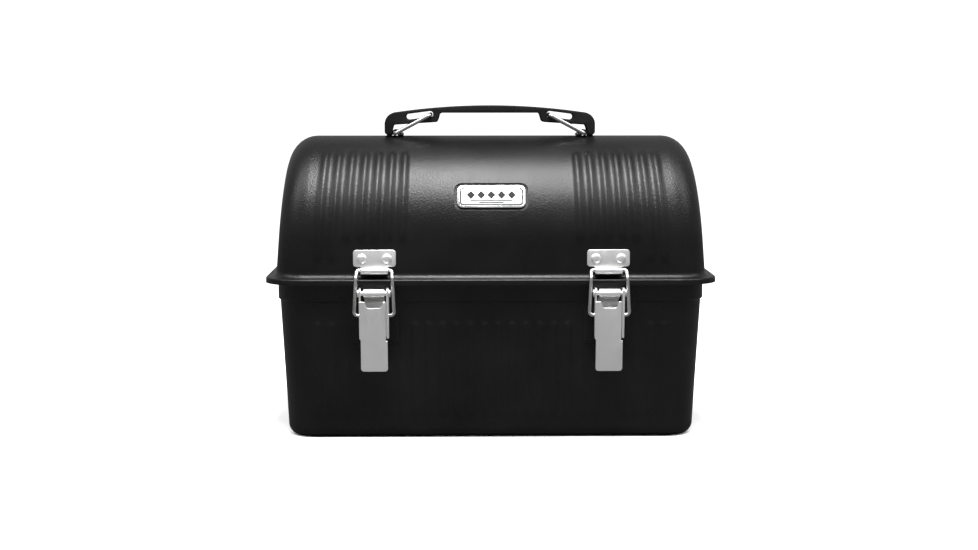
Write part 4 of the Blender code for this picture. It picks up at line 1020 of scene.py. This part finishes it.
corner_x = HANDLE_HALF - HANDLE_CORNER
corner_z = crown(corner_x) - HANDLE_CORNER
half_outline = [(corner_x * i / 16, crown(corner_x * i / 16)) for i in range(17)]
half_outline += [(corner_x + HANDLE_CORNER * sin(a), corner_z + HANDLE_CORNER * cos(a))
                 for a in (radians(12 + 78 * i / 9) for i in range(10))]
under = LINK_FOOT_Z + LINK_RISE - LINK_WIRE - BOSS_WALL
inner = HANDLE_TOP - GRIP
lower = rounded([(x, z, 0) for x, z in (
    (HANDLE_HALF, HANDLE_FOOT + 7 * MM), (HANDLE_HALF, HANDLE_FOOT + 1.5 * MM),
    (HANDLE_HALF - 4.6 * MM, HANDLE_FOOT),
    (LINK_X[0] + 1 * MM, HANDLE_FOOT + 8.1 * MM), (LINK_X[1] - 5.6 * MM, under),
    (LINK_X[1] - 7.6 * MM, inner), (LINK_X[1] - 14 * MM, inner))], 2.2 * MM, 6)[1:-1]
half_outline += [(p.x, p.y) for p in lower]
fall = Vector((1, -SLOT_SLOPE)).normalized()
up = Vector((-fall.y, fall.x))
near = Vector((LINK_X[1], LINK_FOOT_Z + LINK_RISE)) + up * (SLOT_RADIUS - LINK_WIRE - GAP)
far = near + fall * SLOT_LENGTH
slot = [far + up * SLOT_RADIUS * cos(a) + fall * SLOT_RADIUS * sin(a)
        for a in (pi * i / 8 for i in range(9))]
slot += [near - up * SLOT_RADIUS * cos(a) - fall * SLOT_RADIUS * sin(a)
         for a in (pi * i / 8 for i in range(9))]
outline = half_outline + [(-x, z) for x, z in reversed(half_outline) if x > 0]
slots = [[(way * p.x, p.y) for p in slot] for way in (1, -1)]
handle = blank("grip", [outline, *slots], HANDLE_WIDTH, 0.9 * MM)
for way in (-1, 1):
    pocket = tablet("pocket", 13.2 * MM, 19.6 * MM, 10.4 * MM, 1 * MM)
    pocket.data.transform(Matrix.Translation((way * LINK_X[0], 0, HANDLE_FOOT)))
    carve(handle, pocket, "DIFFERENCE")
smooth(handle, 40)
settle(handle, "grip", "handle", "black_plastic", plastic, "handle")

HALF_TURN = Matrix.Rotation(pi, 4, "Z")
foot_bar = Vector((LINK_X[0], 0, LINK_FOOT_Z))
head_bar = Vector((LINK_X[1], 0, LINK_FOOT_Z + LINK_RISE))
reach = Vector((0, LINK_REACH, 0))
run = rounded([foot_bar, foot_bar + reach, head_bar + reach, head_bar - reach, foot_bar - reach,
               foot_bar], LINK_CORNER)[1:]
link = wire("link", run, LINK_WIRE, cyclic=True)
for (side, _), link in zip(SIDES, copies(link, (HALF_TURN, Matrix()))):
    settle(link, f"link_{side}", f"handle_link_{side}", "wire", wire_steel, f"handle_link_{side}")

eye = LINK_WIRE + GAP + PLATE / 2
base = DOME_TOP + GAP + PLATE / 2 - LINK_FOOT_Z
arch = [(eye * cos(a), eye * sin(a)) for a in (radians(180 - 11.25 * i) for i in range(17))]
end = STRAP[0] / 2
path = [(-end, base), (-eye - GAP, base), *arch, (eye + GAP, base), (end, base)]
strap = folded("strap", path, STRAP[1])
ease_edges(strap)
strap.data.transform(Matrix.Translation(foot_bar) @ Matrix.Rotation(pi / 2, 4, "Z"))
for (side, _), strap in zip(SIDES, copies(strap, (HALF_TURN, Matrix()))):
    settle(strap, f"strap_{side}", "lid", "coating", coating, f"handle_bracket_{side}")


# ---------------------------------------------------------------- rear hinges
# Two strap hinges carry the lid: leaves riveted to tub and lid, rolled round a headed pin
# that stands clear of the turned-down rim.

HINGE_X, HINGE_AXIS = 88 * MM, (87.5 * MM, RIM_HEIGHT - 2.8 * MM)
HINGE_WIDTH, KNUCKLE = 44 * MM, 8.5 * MM
HINGE_PIN = 1.6 * MM
TUB_LEAF = (RIM_HEIGHT - 16.7 * MM, RIM_HEIGHT - 8.4 * MM)
LID_LEAF = (RIM_HEIGHT + 15.7 * MM, RIM_HEIGHT + 3.4 * MM)
KNUCKLE_CUT, CUT_DEPTH = 26 * MM, 14 * MM
HINGE_PLACES = [Matrix.Translation((way * HINGE_X, 0, 0)) for _, way in SIDES]
eye = HINGE_PIN + GAP + PLATE / 2
out_tub, out_lid = TUB_HALF[1] + GAP + PLATE / 2, DOME_RADIUS + GAP + PLATE / 2
tub_path = [*((out_tub, z) for z in TUB_LEAF),
            *curl(HINGE_AXIS, eye, radians(-110), radians(300))]
lid_path = [*((out_lid, z) for z in LID_LEAF),
            *curl(HINGE_AXIS, eye, radians(80), radians(-290))]
tub_cuts = [(0, 2 * KNUCKLE + 2 * GAP)]
lid_cuts = [(end * (KNUCKLE + KNUCKLE_CUT / 2), KNUCKLE_CUT) for end in (-1, 1)]
for leaf, path, cuts in (("tub", tub_path, tub_cuts), ("lid", lid_path, lid_cuts)):
    plate = folded("leaf", path, HINGE_WIDTH)
    for centre, width in cuts:
        gap = tablet("gap", width, CUT_DEPTH, CUT_DEPTH, 0.4 * MM)
        gap.data.transform(Matrix.Translation((centre, HINGE_AXIS[0] + MM, HINGE_AXIS[1])))
        carve(plate, gap, "DIFFERENCE")
    ease_edges(plate)
    for (side, _), plate in zip(SIDES, copies(plate, HINGE_PLACES)):
        settle(plate, f"leaf_{leaf}_{side}", leaf, "plated_steel", steel, f"hinge_{leaf}_leaf_{side}")

pin = headed_pin(HINGE_WIDTH / 2 + GAP, HINGE_PIN, HINGE_PIN_HEAD)
pin.data.transform(Matrix.Translation((0, *HINGE_AXIS)))
for (side, _), pin in zip(SIDES, copies(pin, HINGE_PLACES)):
    settle(pin, f"hinge_pin_{side}_turned", "tub", "plated_steel", steel, f"hinge_pin_{side}")


# ---------------------------------------------------------------- bottle retainer
# A sprung wire across the lid's mouth holds a vacuum bottle up in the dome. Its turned-in
# ends run in two folded eyes riveted to the lid's rear wall.

RETAINER = 1.5 * MM
RETAINER_HALF, RETAINER_REACH, RETAINER_RAISE = 96 * MM, 122 * MM, 6 * MM
RETAINER_END, RETAINER_CORNER = 70 * MM, 6 * MM
EYE_X, EYE_WIDTH = 80 * MM, 14 * MM
eye_y = DOME_RADIUS - SHEET - GAP - PLATE - 2.7 * MM
eye_z = DOME_CENTRE - 12 * MM
run = [
    Vector((RETAINER_END, eye_y, eye_z)), Vector((RETAINER_HALF, eye_y, eye_z)),
    Vector((RETAINER_HALF, eye_y - RETAINER_REACH, eye_z + RETAINER_RAISE)),
]
run += [Vector((-p.x, p.y, p.z)) for p in reversed(run)]
retainer = wire("retainer", rounded(run, RETAINER_CORNER), RETAINER)
settle(retainer, "retainer_wire", "bottle_retainer", "wire", wire_steel, "bottle_retainer")

back = DOME_RADIUS - SHEET - GAP - PLATE / 2
eye = RETAINER + GAP + PLATE / 2
path = [(back, DOME_CENTRE - 0.6 * MM), (back, eye_z + 3.2 * MM),
        *curl((eye_y, eye_z), eye, radians(20), radians(-290))]
bracket = folded("bracket", path, EYE_WIDTH)
ease_edges(bracket)
places = [Matrix.Translation((way * EYE_X, 0, 0)) for _, way in SIDES]
for (side, _), bracket in zip(SIDES, copies(bracket, places)):
    settle(bracket, f"retainer_eye_{side}", "lid", "plated_steel", steel, f"retainer_bracket_{side}")


# ---------------------------------------------------------------- done

bpy.ops.object.select_all(action="DESELECT")
